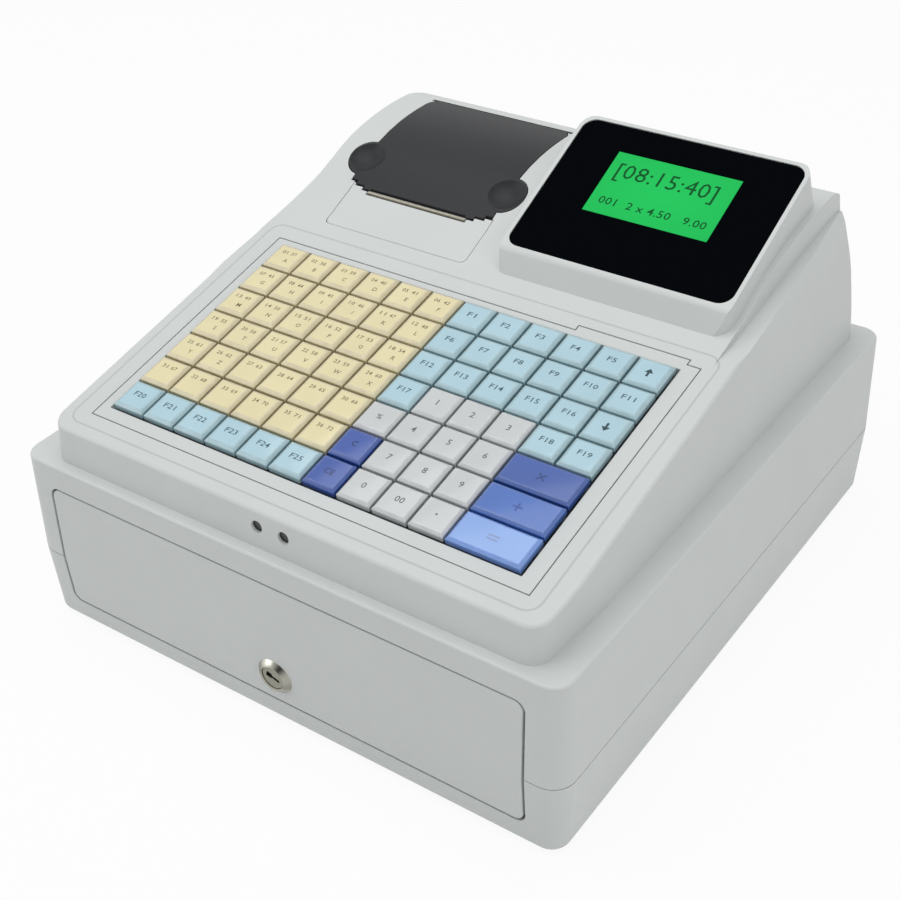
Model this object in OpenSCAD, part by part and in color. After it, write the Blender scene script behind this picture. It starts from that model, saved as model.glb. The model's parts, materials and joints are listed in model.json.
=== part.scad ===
// Electronic cash register: keyboard unit with printer and operator display on a
// lockable cash drawer. Millimetres, +X right, +Y back, +Z up; the origin is on the
// floor at the centre of the footprint. Inside at_front() y runs from the drawer's
// front face backwards and z from the underside of the drawer unit upwards.

/* [Drawer unit] */
// width over the top edge of the drawer unit
body_w = 304; // [290:1:330]
// depth of the drawer unit, front face to back face
body_d = 322; // [300:1:360]
// height of the drawer unit without its feet
body_h = 96; // [85:1:110]
// swell of the walls at the seam between upper shell and lower pan
seam_bulge = 1.5; // [0:0.1:3]
// radius of the top edge
lip_r = 1.5; // [1:0.1:4]
// height of the seam
seam_h = 40; // [32:1:48]
// radius of the vertical corners
corner_r = 10; // [8:0.5:20]
// wall of the plastic shells
wall = 3; // [2:0.5:4]
// height of the rubber feet
foot_h = 3; // [2:0.5:6]

/* [Drawer] */
// width of the drawer unit's frame beside the drawer panel
panel_margin = 18; // [14:0.5:28]
// height of the flush drawer panel
panel_h = 69; // [60:1:76]
// bottom edge of the drawer panel
panel_z = 12.7; // [10:0.1:16]
// dark reveal round the drawer panel
reveal = 1; // [0.6:0.1:2]
// travel of the drawer
drawer_travel = 230; // [150:5:240]
// coin cups
coin_cups = 5; // [3:1:6]
// note compartments
note_bays = 3; // [3:1:3]
// height of the lock's centre
lock_z = 28.5; // [26:0.5:32]

/* [Upper case] */
// half width of the case at its foot
case_hw = 140.5; // [130:0.5:145]
// inward lean of the side walls, mm per mm of height
side_lean = 0.06; // [0:0.005:0.12]
// slope of the keyboard deck in degrees
deck_a = 11.55; // [8:0.05:15]

/* [Keyboard] */
// key pitch
pitch = 19.05; // [18:0.05:20]
// side of a key cap at its skirt
cap_w = 17.8; // [17:0.1:18.4]
// height of a key cap above the deck
cap_h = 2.6; // [1.8:0.2:6]
// key travel
key_travel = 3.5; // [2:0.1:4]

/* [Display] */
// slope of the display glass in degrees
glass_a = 24.3; // [15:0.1:35]
// width of the display glass
glass_w = 119.6; // [100:0.2:121]
// length of the display glass up its slope
glass_l = 86.6; // [70:0.2:88]

/* [Printer] */
// width of the paper roll
paper_w = 57; // [50:1:58]
// diameter of the paper roll
paper_d = 54; // [40:1:56]
// width of the printer cover
cover_w = 89; // [86:0.5:90]

/* [Hidden] */

$fn = 48;
hw = body_w / 2;
proud = 3;                           // lock bezel and rear bumpers stand out this far
foot_in = 0.5;                       // the pan's walls end this far in at the floor
top_z = body_h - wall;               // underside of the drawer unit's top
cav_w = body_w - 2 * wall - 1;       // clear width inside the shells
boss_d = 9;
boss_x = cav_w / 2 - boss_d / 2 + 0.9; // screw bosses are sunk a little into the side walls
boss_y = wall + 6;
floor_t = 2.5;
bumper_z = 62;

// drawer
panel_w = body_w - 2 * panel_margin;
open_w = panel_w + 2 * reveal + 0.6;
open_z = panel_z - reveal;
open_h = panel_h + 2 * reveal;
panel_t = 4;
box_hw = panel_w / 2 - 8;            // steel drawer box, half width
box_y = panel_t;
box_end = body_d - 41;
box_z = 13.5;
box_h = 54;
steel = 1.2;
strip_z = 59.4;                      // runner strip on the box side
strip_t = 1.5;
strip_w = 5;
run_gap = 0.4;
tray_hw = box_hw - 2.5;
tray_y = 30;
tray_end = box_end - 3;
tray_z = box_z + steel + 0.3;
tray_top = 62;
tray_t = 2;
coin_len = 92;
clip_y = tray_end - 9;
clip_z = tray_top - 3.5;
clip_len = 70;
clip_drop = 27;                      // rest slope of a note clip, degrees down

// lock
bezel_d = 19.8;
lock_d = 16;
plug_d = 12.4;
cam_y = 24;
cam_t = 2;
cam_r = 19.5;

// latch
hook_y = body_d - 10;
hook_x = 12;
hook_z = 20;
hook_t = 3.5;
hook_swing = 20;
post_y = box_end + 14;
pull_y = hook_y - 11;
pull = 4.3;
spring_x = -44;
spring_z = 34;

// upper case
deck_y = 94.8;                       // centre of the key field
deck_z = body_h + 36.7;
deck_k = tan(deck_a);
pod_y = 191;                         // lower edge of the display glass
pod_z = body_h + 69.5;
pod_x0 = 0;
pod_x1 = pod_x0 + glass_w + 4.4;
glass_x = (pod_x0 + pod_x1) / 2;
glass_t = 2.4;
glass_r = 7;
case_y0 = 5.9;
front_lean = 0.106;                  // the front wall leans back this much per mm
case_y1 = body_d - 5.5;
case_r = 10;
band_x = case_hw - 13.2;

// keyboard
cols = 12;
rows = 7;
field_w = cols * pitch;
field_l = rows * pitch;
plate_x = case_hw - wall - 8.5;      // key plate, half width
plate_l = 79;
win_gap = 0.9;
bez_x0 = -field_w / 2 - 6.1;
bez_x1 = field_w / 2 + 8.6;
bez_v0 = -field_l / 2 - 7.7;
bez_v1 = field_l / 2 + 4.5;
cap_skirt = -1.5;
cap_top_w = 15.2;
stem_d = 5.4;
stem_end = -8.2;
plate_h = -8;
plate_t = 1.2;
memb_h = stem_end - key_travel - 0.9;

// printer
cov_x = -62.8;
cov_y0 = 209.2;
cov_y1 = case_y1 - 28.3;
cov_t = 2.5;
ear_r = 10.4;
ear_y = 225.6;
dip_r = 16;                          // the finger dips are cut by a ball over the lid
dip_y = ear_y - 4.96;
dip_z = body_h + 87.1;
hinge_y = cov_y1 - 0.2;
hinge_z = body_h + 83.65;
barrel_r = 1.7;
pin_r = 1.2;
roll_y = 257;
roll_z = body_h + 47;
roll_drop = 1.9;                     // the roll rests this far below the bucket's centre
platen_y = 216;
platen_z = body_h + 59.5;
platen_r = 4.5;
slot_w = 63;

// ---- colours ----
shell_c = "#CDD2D1";
pan_c = "#C2C8C8";
dark_c = "#45474A";
steel_c = "#A9AEB3";
board_c = "#2F6B45";
rubber_c = "#2A2B2D";

// ---- helpers ----
module at_front() {
  translate([0, -body_d / 2, foot_h]) children();
}

module on_deck() {
  at_front() translate([0, deck_y, deck_z]) rotate([deck_a, 0, 0]) children();
}

module on_slope() {
  translate([0, pod_y, pod_z]) rotate([glass_a, 0, 0]) children();
}

module on_glass() {
  at_front() on_slope() children();
}

// rounded rectangle, centred in x, y from 0 to d
module rr(w, d, r, f = 48) {
  translate([-w / 2 + r, 0]) square([w - 2 * r, d]);
  translate([-w / 2, r]) square([w, d - 2 * r]);
  for (x = [-1, 1], y = [r, d - r])
    translate([x * (w / 2 - r), y]) circle(r, $fn = f);
}

// upright plate of outline rr between y0 and y0 + t, standing on z0
module front_plate(w, h, r, y0, t, z0) {
  translate([0, y0 + t, z0]) rotate([90, 0, 0]) linear_extrude(t) rr(w, h, r);
}

module rod_x(x0, x1, r) {
  translate([x0, 0, 0]) rotate([0, 90, 0]) cylinder(r = r, h = x1 - x0);
}

module rod_y(y0, y1, r) {
  translate([0, y1, 0]) rotate([90, 0, 0]) cylinder(r = r, h = y1 - y0);
}

// extrudes a (y, z) outline from x0 to x1
module along_x(x0, x1) {
  translate([x0, 0, 0]) rotate([90, 0, 90]) linear_extrude(x1 - x0) children();
}

// extrudes an (x, z) outline from y0 to y1
module along_y(y0, y1) {
  translate([0, y1, 0]) rotate([90, 0, 0]) linear_extrude(y1 - y0) children();
}

// how far the drawer unit's walls stand out at height z
function swell(z) = z > seam_h
  ? seam_bulge * (body_h - lip_r - z) / (body_h - lip_r - seam_h)
  : -foot_in + (seam_bulge + foot_in) * z / seam_h;

// outlines as [swell, z] points, from the bottom up
upper_edge = concat([[seam_bulge, seam_h + 0.4]],
  [for (a = [0 : 18 : 90]) [lip_r * (cos(a) - 1), body_h - lip_r * (1 - sin(a))]]);
lower_edge = [[swell(0) - 2, 0], [swell(1) - 0.6, 0.9], [swell(2.4), 2.4],
  [seam_bulge, seam_h - 0.05]];

// solid with rounded corners in plan whose walls follow an edge outline
module drafted(edge) {
  n = len(edge) - 1;
  low = edge[0][1];
  high = edge[n][1];
  along_y(corner_r, body_d - corner_r)
    polygon(concat([for (p = edge) [hw + p[0], p[1]]],
      [for (i = [n : -1 : 0]) [-hw - edge[i][0], edge[i][1]]]));
  along_x(-hw + corner_r, hw - corner_r)
    polygon(concat([for (p = edge) [body_d + p[0], p[1]]],
      [for (i = [n : -1 : 0]) [-edge[i][0], edge[i][1]]]));
  for (x = [-1, 1], y = [corner_r, body_d - corner_r])
    translate([x * (hw - corner_r), y, 0]) rotate_extrude($fn = 64)
      polygon(concat([[0, low]], [for (p = edge) [corner_r + p[0], p[1]]], [[0, high]]));
}

// ---- drawer unit ----
module cavity(z0, z1) {
  translate([0, wall, z0]) linear_extrude(z1 - z0)
    rr(cav_w, body_d - 2 * wall, corner_r - wall, 64);
}

module drawer_opening() {
  front_plate(open_w, open_h, 5.5, -seam_bulge - 1, seam_bulge + wall + 6, open_z);
}

module drawer_housing() color(shell_c) at_front() difference() {
  union() {
    drafted(upper_edge);
    // lip that the seam's shadow line runs round
    translate([0, 0.6 - seam_bulge, seam_h]) linear_extrude(1)
      rr(body_w + 2 * seam_bulge - 1.2, body_d + 2 * seam_bulge - 1.2, corner_r + 0.9, 64);
  }
  difference() {
    cavity(seam_h - 1, top_z);
    for (x = [-1, 1], y = [boss_y, body_d - boss_y])
      translate([x * boss_x, y, seam_h]) cylinder(d = boss_d, h = body_h - seam_h);
  }
  drawer_opening();
  for (x = [-1, 1], y = [boss_y, body_d - boss_y])
    translate([x * boss_x, y, seam_h - 1]) cylinder(d = 3.4, h = 21);
  // cable hole up into the keyboard unit
  translate([-110, body_d - 40, top_z - 1]) cylinder(d = 14, h = wall + 2);
}

module drawer_pan() color(pan_c) at_front() difference() {
  union() {
    difference() {
      drafted(lower_edge);
      cavity(floor_t, seam_h + 1);
    }
    for (x = [-1, 1], y = [boss_y, body_d - boss_y])
      translate([x * boss_x, y, 1]) cylinder(d = boss_d, h = seam_h - 1);
    // stop rib that the lock cam drops behind
    translate([-12, cam_y - 5, 1]) cube([24, 3, panel_z - 2]);
    // pivot stud of the latch hook and seat of the ejector spring
    translate([hook_x, hook_y, 1]) cylinder(d = 4, h = hook_z + hook_t + 1.5);
    translate([hook_x, hook_y, 1]) cylinder(d = 9, h = hook_z - 1.3);
    translate([spring_x, 0, spring_z]) rod_y(body_d - wall - 9, body_d - wall + 1, 5);
    translate([spring_x - 9, body_d - wall - 3, 1]) cube([18, 4, seam_h - 1]);
  }
  drawer_opening();
  for (x = [-1, 1], y = [boss_y, body_d - boss_y])
    translate([x * boss_x, y, -1]) {
      cylinder(d = 3.4, h = seam_h + 2);
      cylinder(d = 7.6, h = 3.6);
    }
}

module rubber_feet() color(rubber_c) at_front() {
  for (x = [-1, 1], y = [26, body_d - 26])
    translate([x * (hw - 28), y, -foot_h]) {
      cylinder(d = 15, h = foot_h);
      translate([0, 0, 0.8]) cylinder(d = 17, h = foot_h - 0.8);
    }
  // rear bumpers, seated on the slope of the back wall
  difference() {
    for (x = [-1, 1]) translate([x * (hw - 50), 0, bumper_z])
      rod_y(body_d, body_d + proud, 7);
    along_x(-hw, hw) polygon([[body_d - 1, seam_h], [body_d + seam_bulge, seam_h + 0.4],
      [body_d, body_h - lip_r], [body_d - 1, body_h - lip_r]]);
  }
}

// ---- drawer ----
module drawer_front() color(shell_c) at_front() difference() {
  intersection() {
    front_plate(panel_w, panel_h, 4.5, -seam_bulge - 1, panel_t + seam_bulge + 1, panel_z);
    along_x(-panel_w, panel_w) polygon([[panel_t, 0], [panel_t, body_h],
      [-swell(body_h - lip_r), body_h - lip_r], [-seam_bulge, seam_h], [-swell(0), 0]]);
  }
  translate([0, 0, lock_z]) rod_y(-seam_bulge - 1, panel_t + 1, lock_d / 2 + 0.05);
}

module drawer_box() color(steel_c) at_front() {
  difference() {
    translate([-box_hw, box_y, box_z]) cube([2 * box_hw, box_end - box_y, box_h]);
    translate([-box_hw + steel, box_y + steel, box_z + steel])
      cube([2 * (box_hw - steel), box_end - box_y - 2 * steel, box_h]);
    translate([0, 0, lock_z]) rod_y(box_y - 1, box_y + steel + 1, lock_d / 2 + 0.05);
    // slot that the lock cam swings through
    translate([-6, cam_y - 1.2, box_z - 1]) cube([24, cam_t + 2.4, steel + 2]);
  }
  for (s = [-1, 1])
    translate([s > 0 ? box_hw : -box_hw - strip_w, box_y + 6, strip_z])
      cube([strip_w, box_end - box_y - 8, strip_t]);
  // strike at the back for the latch hook
  translate([-6, box_end, box_z]) cube([12, 18, 2]);
  translate([0, post_y, box_z + 1]) cylinder(d = 5, h = 10);
}

module drawer_rails() color(steel_c) at_front() for (s = [0, 1]) mirror([s, 0, 0])
  along_y(8, body_d - 22) {
    web_x = box_hw + strip_w + 0.6;
    translate([box_hw + 0.8, strip_z - run_gap - strip_t])
      square([web_x + strip_t - box_hw - 0.8, strip_t]);
    translate([box_hw + 0.8, strip_z + strip_t + run_gap])
      square([web_x + strip_t - box_hw - 0.8, strip_t]);
    translate([web_x, floor_t])
      square([strip_t, strip_z + 2 * strip_t + run_gap - floor_t]);
    translate([web_x, floor_t]) square([6.5, strip_t]);
  }

module till_tray() color(dark_c) at_front() {
  inner = 2 * (tray_hw - tray_t);
  cup_w = (inner - (coin_cups - 1) * tray_t) / coin_cups;
  bay_w = (inner - (note_bays - 1) * tray_t) / note_bays;
  cup_r = tray_top - tray_z - tray_t;
  bay_y = tray_y + 2 * tray_t + coin_len;
  difference() {
    translate([-tray_hw, tray_y, tray_z]) cube([2 * tray_hw, tray_end - tray_y, tray_top - tray_z]);
    for (i = [0 : coin_cups - 1])
      translate([-inner / 2 + i * (cup_w + tray_t), 0, 0]) {
        for (y = [tray_y + tray_t + cup_r, bay_y - tray_t - cup_r])
          translate([0, y, tray_top]) rod_x(0, cup_w, cup_r);
        translate([0, tray_y + tray_t + cup_r, tray_z + tray_t])
          cube([cup_w, coin_len - 2 * cup_r, cup_r + 1]);
      }
    for (i = [0 : note_bays - 1])
      translate([-inner / 2 + i * (bay_w + tray_t), bay_y, tray_z + tray_t])
        cube([bay_w, tray_end - tray_t - bay_y, tray_top]);
  }
  // lugs for the note clips
  for (i = [0 : note_bays - 1], s = [-1, 1])
    translate([-inner / 2 + bay_w / 2 + i * (bay_w + tray_t), 0, 0]) difference() {
      translate([s * 13 - 1.2, clip_y - 4, clip_z - 4])
        cube([2.4, tray_end - clip_y + 3, tray_top - clip_z + 4]);
      translate([0, clip_y, clip_z]) rod_x(-20, 20, 1.55);
    }
}

module bill_clip(i) color(steel_c) at_front() {
  inner = 2 * (tray_hw - tray_t);
  bay_w = (inner - (note_bays - 1) * tray_t) / note_bays;
  translate([-inner / 2 + bay_w / 2 + i * (bay_w + tray_t), clip_y, clip_z]) {
    rod_x(-14, 14, 1.5);
    rod_x(-11.4, 11.4, 2.6);
    rotate([clip_drop, 0, 0]) {
      translate([-7, -clip_len, -0.8]) cube([14, clip_len, 1.6]);
      translate([0, -clip_len, 0]) rod_x(-16, 16, 2.4);
    }
  }
}

// wire of radius w wound n turns of radius r over the length l, as one polyhedron
module coil(r, w, n, l) {
  seg = 14;
  sides = 8;
  steps = n * seg;
  pts = [for (i = [0 : steps], j = [0 : sides - 1])
    let (a = 360 * i / seg, b = 360 * j / sides, q = r + w * cos(b))
      [q * cos(a), q * sin(a), l * i / steps + w * sin(b)]];
  walls = [for (i = [0 : steps - 1], j = [0 : sides - 1], t = [0, 1])
    let (k = (j + 1) % sides, a = i * sides, b = (i + 1) * sides)
      t == 0 ? [a + j, a + k, b + k] : [a + j, b + k, b + j]];
  first = [for (j = [sides - 1 : -1 : 0]) j];
  last = [for (j = [0 : sides - 1]) steps * sides + j];
  polyhedron(points = pts, faces = concat([first], [last], walls), convexity = 10);
}

module eject_spring() color(steel_c) at_front()
  translate([spring_x, box_end + 1, spring_z]) rotate([-90, 0, 0]) {
    len = body_d - wall - 3 - box_end - 1;
    translate([0, 0, 0.9]) coil(6.6, 0.9, 7, len - 1.8);
  }

module latch_solenoid() color("#8C7A4A") at_front() difference() {
  union() {
    translate([27, pull_y - 9, floor_t]) cube([28, 18, 3]);
    translate([27, pull_y - 9, floor_t]) cube([1.6, 18, 31]);
    translate([53.4, pull_y - 9, floor_t]) cube([1.6, 18, 31]);
    translate([27, pull_y - 9, 32]) cube([28, 18, 1.5]);
    translate([0, pull_y, hook_z + hook_t / 2]) rod_x(28, 54, 8.4);
  }
  translate([0, pull_y, hook_z + hook_t / 2]) rod_x(26, 52, 3.7);
}

module latch_plunger() color(steel_c) at_front()
  translate([0, pull_y, hook_z + hook_t / 2]) {
    rod_x(19.8, 27, 1.5);
    rod_x(25.8, 46, 3.6);
  }

module latch_hook() color(steel_c) at_front()
  translate([hook_x, hook_y, hook_z]) rotate([0, 0, hook_swing]) difference() {
    union() {
      cylinder(d = 9, h = hook_t);
      translate([-3, -hook_y + post_y - 6.5, 0]) cube([6, hook_y - post_y + 6.5, hook_t]);
      translate([-14.5, -hook_y + post_y - 6.5, 0]) cube([17.5, 3.6, hook_t]);
    }
    translate([0, 0, -1]) cylinder(d = 4.1, h = hook_t + 2);
  }

module lock_barrel() color("#C9C8C2") at_front() translate([0, 0, lock_z]) difference() {
  union() {
    difference() {
      union() {
        rod_y(-proud + 2.2, 0, bezel_d / 2);
        translate([0, -proud + 2.2, 0]) rotate([90, 0, 0])
          cylinder(r1 = bezel_d / 2, r2 = bezel_d / 2 - 2.2, h = 2.2);
      }
      // seated on the swell of the panel
      along_x(-bezel_d, bezel_d) polygon([[1, -lock_z], [-swell(0), -lock_z],
        [-seam_bulge, seam_h - lock_z], [1, seam_h - lock_z]]);
    }
    rod_y(-proud + 2, cam_y - 2, lock_d / 2);
    rod_y(box_y + steel, box_y + steel + 3.5, lock_d / 2 + 2.5);
  }
  rod_y(-proud - 1, cam_y, plug_d / 2 + 0.05);
}

module lock_plug() color("#D5D3CC") at_front() translate([0, 0, lock_z]) difference() {
  union() {
    rod_y(-proud + 0.4, cam_y, plug_d / 2);
    translate([-2.5, cam_y - 0.1, -2.5]) cube([5, cam_t + 0.1, 5]);
  }
  rotate([0, 18, 0]) {
    translate([-3.8, -proud - 1, -0.7]) cube([7.6, 12, 1.4]);
    translate([-3.8, -proud - 1, -1.5]) cube([3, 12, 3]);
  }
}

module lock_cam() color(steel_c) at_front() translate([0, cam_y, lock_z]) difference() {
  union() {
    rod_y(0, cam_t, 6);
    translate([0, 0, -4]) cube([cam_r, cam_t, 8]);
  }
  translate([-2.5, -1, -2.5]) cube([5, cam_t + 2, 5]);
}

// ---- upper case ----
function deck_at(y) = deck_z + (y - deck_y) * deck_k;

// (y, z) outline of the case away from printer and display; its front is left to the corners
module base_outline() {
  polygon([[case_y0 - 2, body_h], [case_y0 - 2, deck_at(case_y0 - 2)], [172, deck_at(172)],
    [186, deck_at(186) - 1.6], [220, body_h + 59.5], [252, body_h + 65.5],
    [case_y1 - 38.5, body_h + 69.5], [case_y1 - 19.5, body_h + 71.8],
    [case_y1 - 14.5, body_h + 71.4], [case_y1 - 11, body_h + 70.2], [case_y1 - 8.5, body_h + 67.6],
    [case_y1 - 7.3, body_h + 64], [case_y1 - 6.7, body_h + 58], [case_y1 - 5.9, body_h + 50],
    [case_y1 - 4.5, body_h + 42], [case_y1 - 2.3, body_h + 28], [case_y1 - 0.9, body_h + 18],
    [case_y1, body_h + 6], [case_y1, body_h]]);
}

module band_outline() {
  polygon([[150, body_h], [160, deck_at(160) - 1], [172, body_h + 52.9], [180, body_h + 55.2],
    [186, body_h + 57.2], [192, body_h + 58.6], [198, body_h + 59.9], [212, body_h + 66.4],
    [226, body_h + 72.4], [238, body_h + 76.6], [250, body_h + 79.7], [268, body_h + 82.8],
    [case_y1 - 32.5, body_h + 84.4], [case_y1 - 26.5, body_h + 84.5],
    [case_y1 - 21.5, body_h + 83.8], [case_y1 - 17.5, body_h + 81.8],
    [case_y1 - 14.5, body_h + 78.6], [case_y1 - 12.1, body_h + 74], [case_y1 - 10.5, body_h + 68],
    [case_y1 - 10.1, body_h]]);
}

module hump_outline() {
  polygon([[150, body_h], [160, deck_at(160) - 1], [172, body_h + 52.9], [180, body_h + 55.2],
    [186, body_h + 57.2], [190, body_h + 58.7], [198, body_h + 62.3], [205, body_h + 65.2],
    [211, body_h + 68.3], [217, body_h + 71.6], [223, body_h + 74.7], [229, body_h + 77.4],
    [236, body_h + 80], [246, body_h + 82.7], [256, body_h + 84.5], [264, body_h + 85.3],
    [272, body_h + 85.7], [280, body_h + 85.7], [case_y1 - 28.5, body_h + 85.4],
    [case_y1 - 23.5, body_h + 85], [case_y1 - 20, body_h + 84.2], [case_y1 - 17, body_h + 82.8],
    [case_y1 - 14, body_h + 80.2], [case_y1 - 11.5, body_h + 76.4], [case_y1 - 9.5, body_h + 71],
    [case_y1 - 7.9, body_h + 64], [case_y1 - 7.1, body_h + 58], [case_y1 - 6.5, body_h]]);
}

module pod_outline() {
  c = cos(glass_a);
  s = sin(glass_a);
  l = glass_l + 2.2;
  polygon([[183.3, body_h], [183.3, body_h + 54.5], [pod_y - 2.2 * c - 1.2, pod_z - 2.2 * s - 1.4],
    [pod_y - 2.2 * c - 0.2, pod_z - 2.2 * s - 0.1], [pod_y - 1.2 * c, pod_z - 1.2 * s + 0.4],
    [pod_y + (l - 1) * c, pod_z + (l - 1) * s + 0.4],
    [pod_y + l * c + 0.6, pod_z + l * s - 0.1], [pod_y + l * c + 1.4, pod_z + l * s - 1.4],
    [284, body_h + 84], [286, body_h + 70], [286, body_h]]);
}

// section of the side walls as [distance in from the foot, height], right and left
shoulder_r = [[0, 0], [45 * side_lean, 45], [45 * side_lean + 0.8, 52], [4.8, 58], [6.8, 64],
  [9.4, 69], [11.8, 71.6], [13.2, 73.6], [13.3, 130]];
shoulder_l = [[0, 0], [40 * side_lean, 40], [4.4, 50], [7.4, 57], [10.2, 62.5], [12.4, 68],
  [13.7, 73.5], [14.4, 80], [15.4, 85], [15.5, 130]];

// corners of the back wall as [height, side in, back in, radius], right and left
back_r = [[-5, 0, 0, 14.5], [6, 0.3, 0, 14.5], [18, 1, 0.9, 15], [28, 1.6, 2.3, 15.5],
  [42, 2.4, 4.5, 16.5], [50, 3.2, 5.9, 17], [58, 4.7, 7.4, 17.5], [130, 17.4, 21, 18]];
back_l = [[-5, 0, 0, 14], [6, 0.3, 0, 14], [18, 1, 0.9, 14], [28, 1.6, 2.3, 14],
  [42, 2.6, 4.5, 14], [50, 4.2, 5.9, 13], [60, 7.4, 7.6, 12], [71, 10.9, 9.6, 11],
  [76.4, 12.6, 11.5, 10], [80.2, 13.9, 14, 9], [84.2, 15.2, 20, 8], [130, 31, 120, 8]];

// how far the side walls stand in from case_hw in plan, as [y, right, left]: the case
// narrows a little towards its front
plan_in = [[0, 2.7, 4.2], [30, 1.7, 4.2], [46, 0.7, 4.2], [62, 0, 4.2], [80, -0.4, 4.2],
  [125, -0.5, 4.2], [160, -0.2, 1.9], [200, 0, 0], [400, 0, 0]];
front_hw = case_hw - plan_in[0][2];  // half width at the front, left

// body of the case drawn in by o
module case_body(o) intersection() {
  union() {
    along_x(-case_hw - 1 + o, case_hw + 1 - o) offset(delta = -o) base_outline();
    along_x(-case_hw + o, pod_x0 + 12 - o) offset(delta = -o) hump_outline();
    along_x(pod_x0 + 4 + o, band_x - o) offset(delta = -o) band_outline();
    intersection() {
      along_x(pod_x0 + o, pod_x1 - o) offset(delta = -o * 1.8) pod_outline();
      translate([(pod_x0 + pod_x1) / 2, 180, body_h])
        linear_extrude(130) translate([0, 3.3 + o])
          rr(glass_w + 4.4 - 2 * o, 140 - o, 9 - min(o, 4));
      on_slope() translate([glass_x, glass_l + 2.9 - o - 160, -60]) linear_extrude(80)
        rr(glass_w + 4.4 - 2 * o, 160, 9 - min(o, 4));
    }
  }
  // leaning side walls with soft shoulders
  along_y(0, body_d) polygon(concat(
    [[-case_hw + o, body_h - 5], [case_hw + 0.5 - o, body_h - 5], [case_hw + 0.5 - o, body_h]],
    [for (p = shoulder_r) [case_hw - o - p[0], body_h + p[1]]],
    [for (i = [len(shoulder_l) - 1 : -1 : 0])
      [-case_hw + o + shoulder_l[i][0], body_h + shoulder_l[i][1]]]));
  case_front(o);
  case_back(o, 1, back_r);
  case_back(o, -1, back_l);
  translate([0, 0, body_h - 5]) linear_extrude(140) case_plan(o);
}

// front wall with its rounded corners, leaning back, open towards the rear
module case_front(o) hull() for (h = [-5, 120])
  translate([0, 0, body_h + h]) linear_extrude(0.01) {
    r = case_r - o;
    y = case_y0 + o + front_lean * h + r;
    translate([case_hw - plan_in[0][1] - o - r, y]) circle(r);
    translate([-front_hw + o + r, y]) circle(r);
    translate([-170, 340]) square([340, 1]);
  }

// rounded corner of the back wall on the side s, open towards the front
module case_back(o, s, levels) hull() for (l = levels)
  translate([0, 0, body_h + l[0]]) linear_extrude(0.01) {
    r = l[3] - o;
    translate([s * (case_hw + 0.4 - l[1] - o - r), case_y1 + 0.2 - l[2] - o - r]) circle(r);
    translate([-170, -20]) square([340, 1]);
    translate([s * -170 - 0.5, -20]) square([1, case_y1 + 20.2 - o]);
  }

// side walls in plan
module case_plan(o) polygon(concat(
  [for (p = plan_in) [case_hw - p[1] - o, p[0]]],
  [for (i = [len(plan_in) - 1 : -1 : 0]) [-case_hw + plan_in[i][2] + o, plan_in[i][0]]]));

// skin of the printer hump, t thick, u proud of it
module hump_skin(x0, x1, t, u = 0) along_x(x0, x1) difference() {
  offset(delta = u) hump_outline();
  offset(delta = -t) hump_outline();
}

module cover_plan(g) {
  x0 = cov_x - cover_w / 2;
  x1 = cov_x + cover_w / 2;
  f = g > 0 ? g + 0.6 : 0;
  translate([x0 - g, 212 - f]) square([cover_w + 2 * g, cov_y1 - 219 + f]);
  translate([cov_x, 262]) rr(cover_w + 2 * g, cov_y1 - 262 + g, 6 + g);
  translate([x0 + 4 - g, 210 - f]) square([cover_w - 8 + 2 * g, 10]);
  translate([x0 + 9.5 - g, 208.3 - f]) square([5, 10]);
  translate([x1 - 14.5 + g, 208.3 - f]) square([5, 10]);
  translate([x0 + 10, cov_y0 - f]) square([cover_w - 20, 10]);
  for (x = [x0 + 0.4, x1 - 0.4]) translate([x, ear_y]) circle(ear_r + g);
}

module bezel_plan(g) {
  translate([bez_x0 - g, bez_v0 - g]) square([bez_x1 - bez_x0 + 2 * g, bez_v1 - bez_v0 + 2 * g]);
  translate([58.6 - g, bez_v1 - 2]) square([57.4 + 2 * g, 5.4 + g]);
}

panel_x0 = -104.8;
panel_x1 = -17.4;
panel_y1 = 210.3;
module panel_plan(g) {
  translate([(panel_x0 + panel_x1) / 2, 183.3 - g])
    rr(panel_x1 - panel_x0 + 2 * g, 36, 3);
}

module slot_plan() {
  translate([cov_x - slot_w / 2, 205.4]) square([slot_w, 5]);
}

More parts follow.
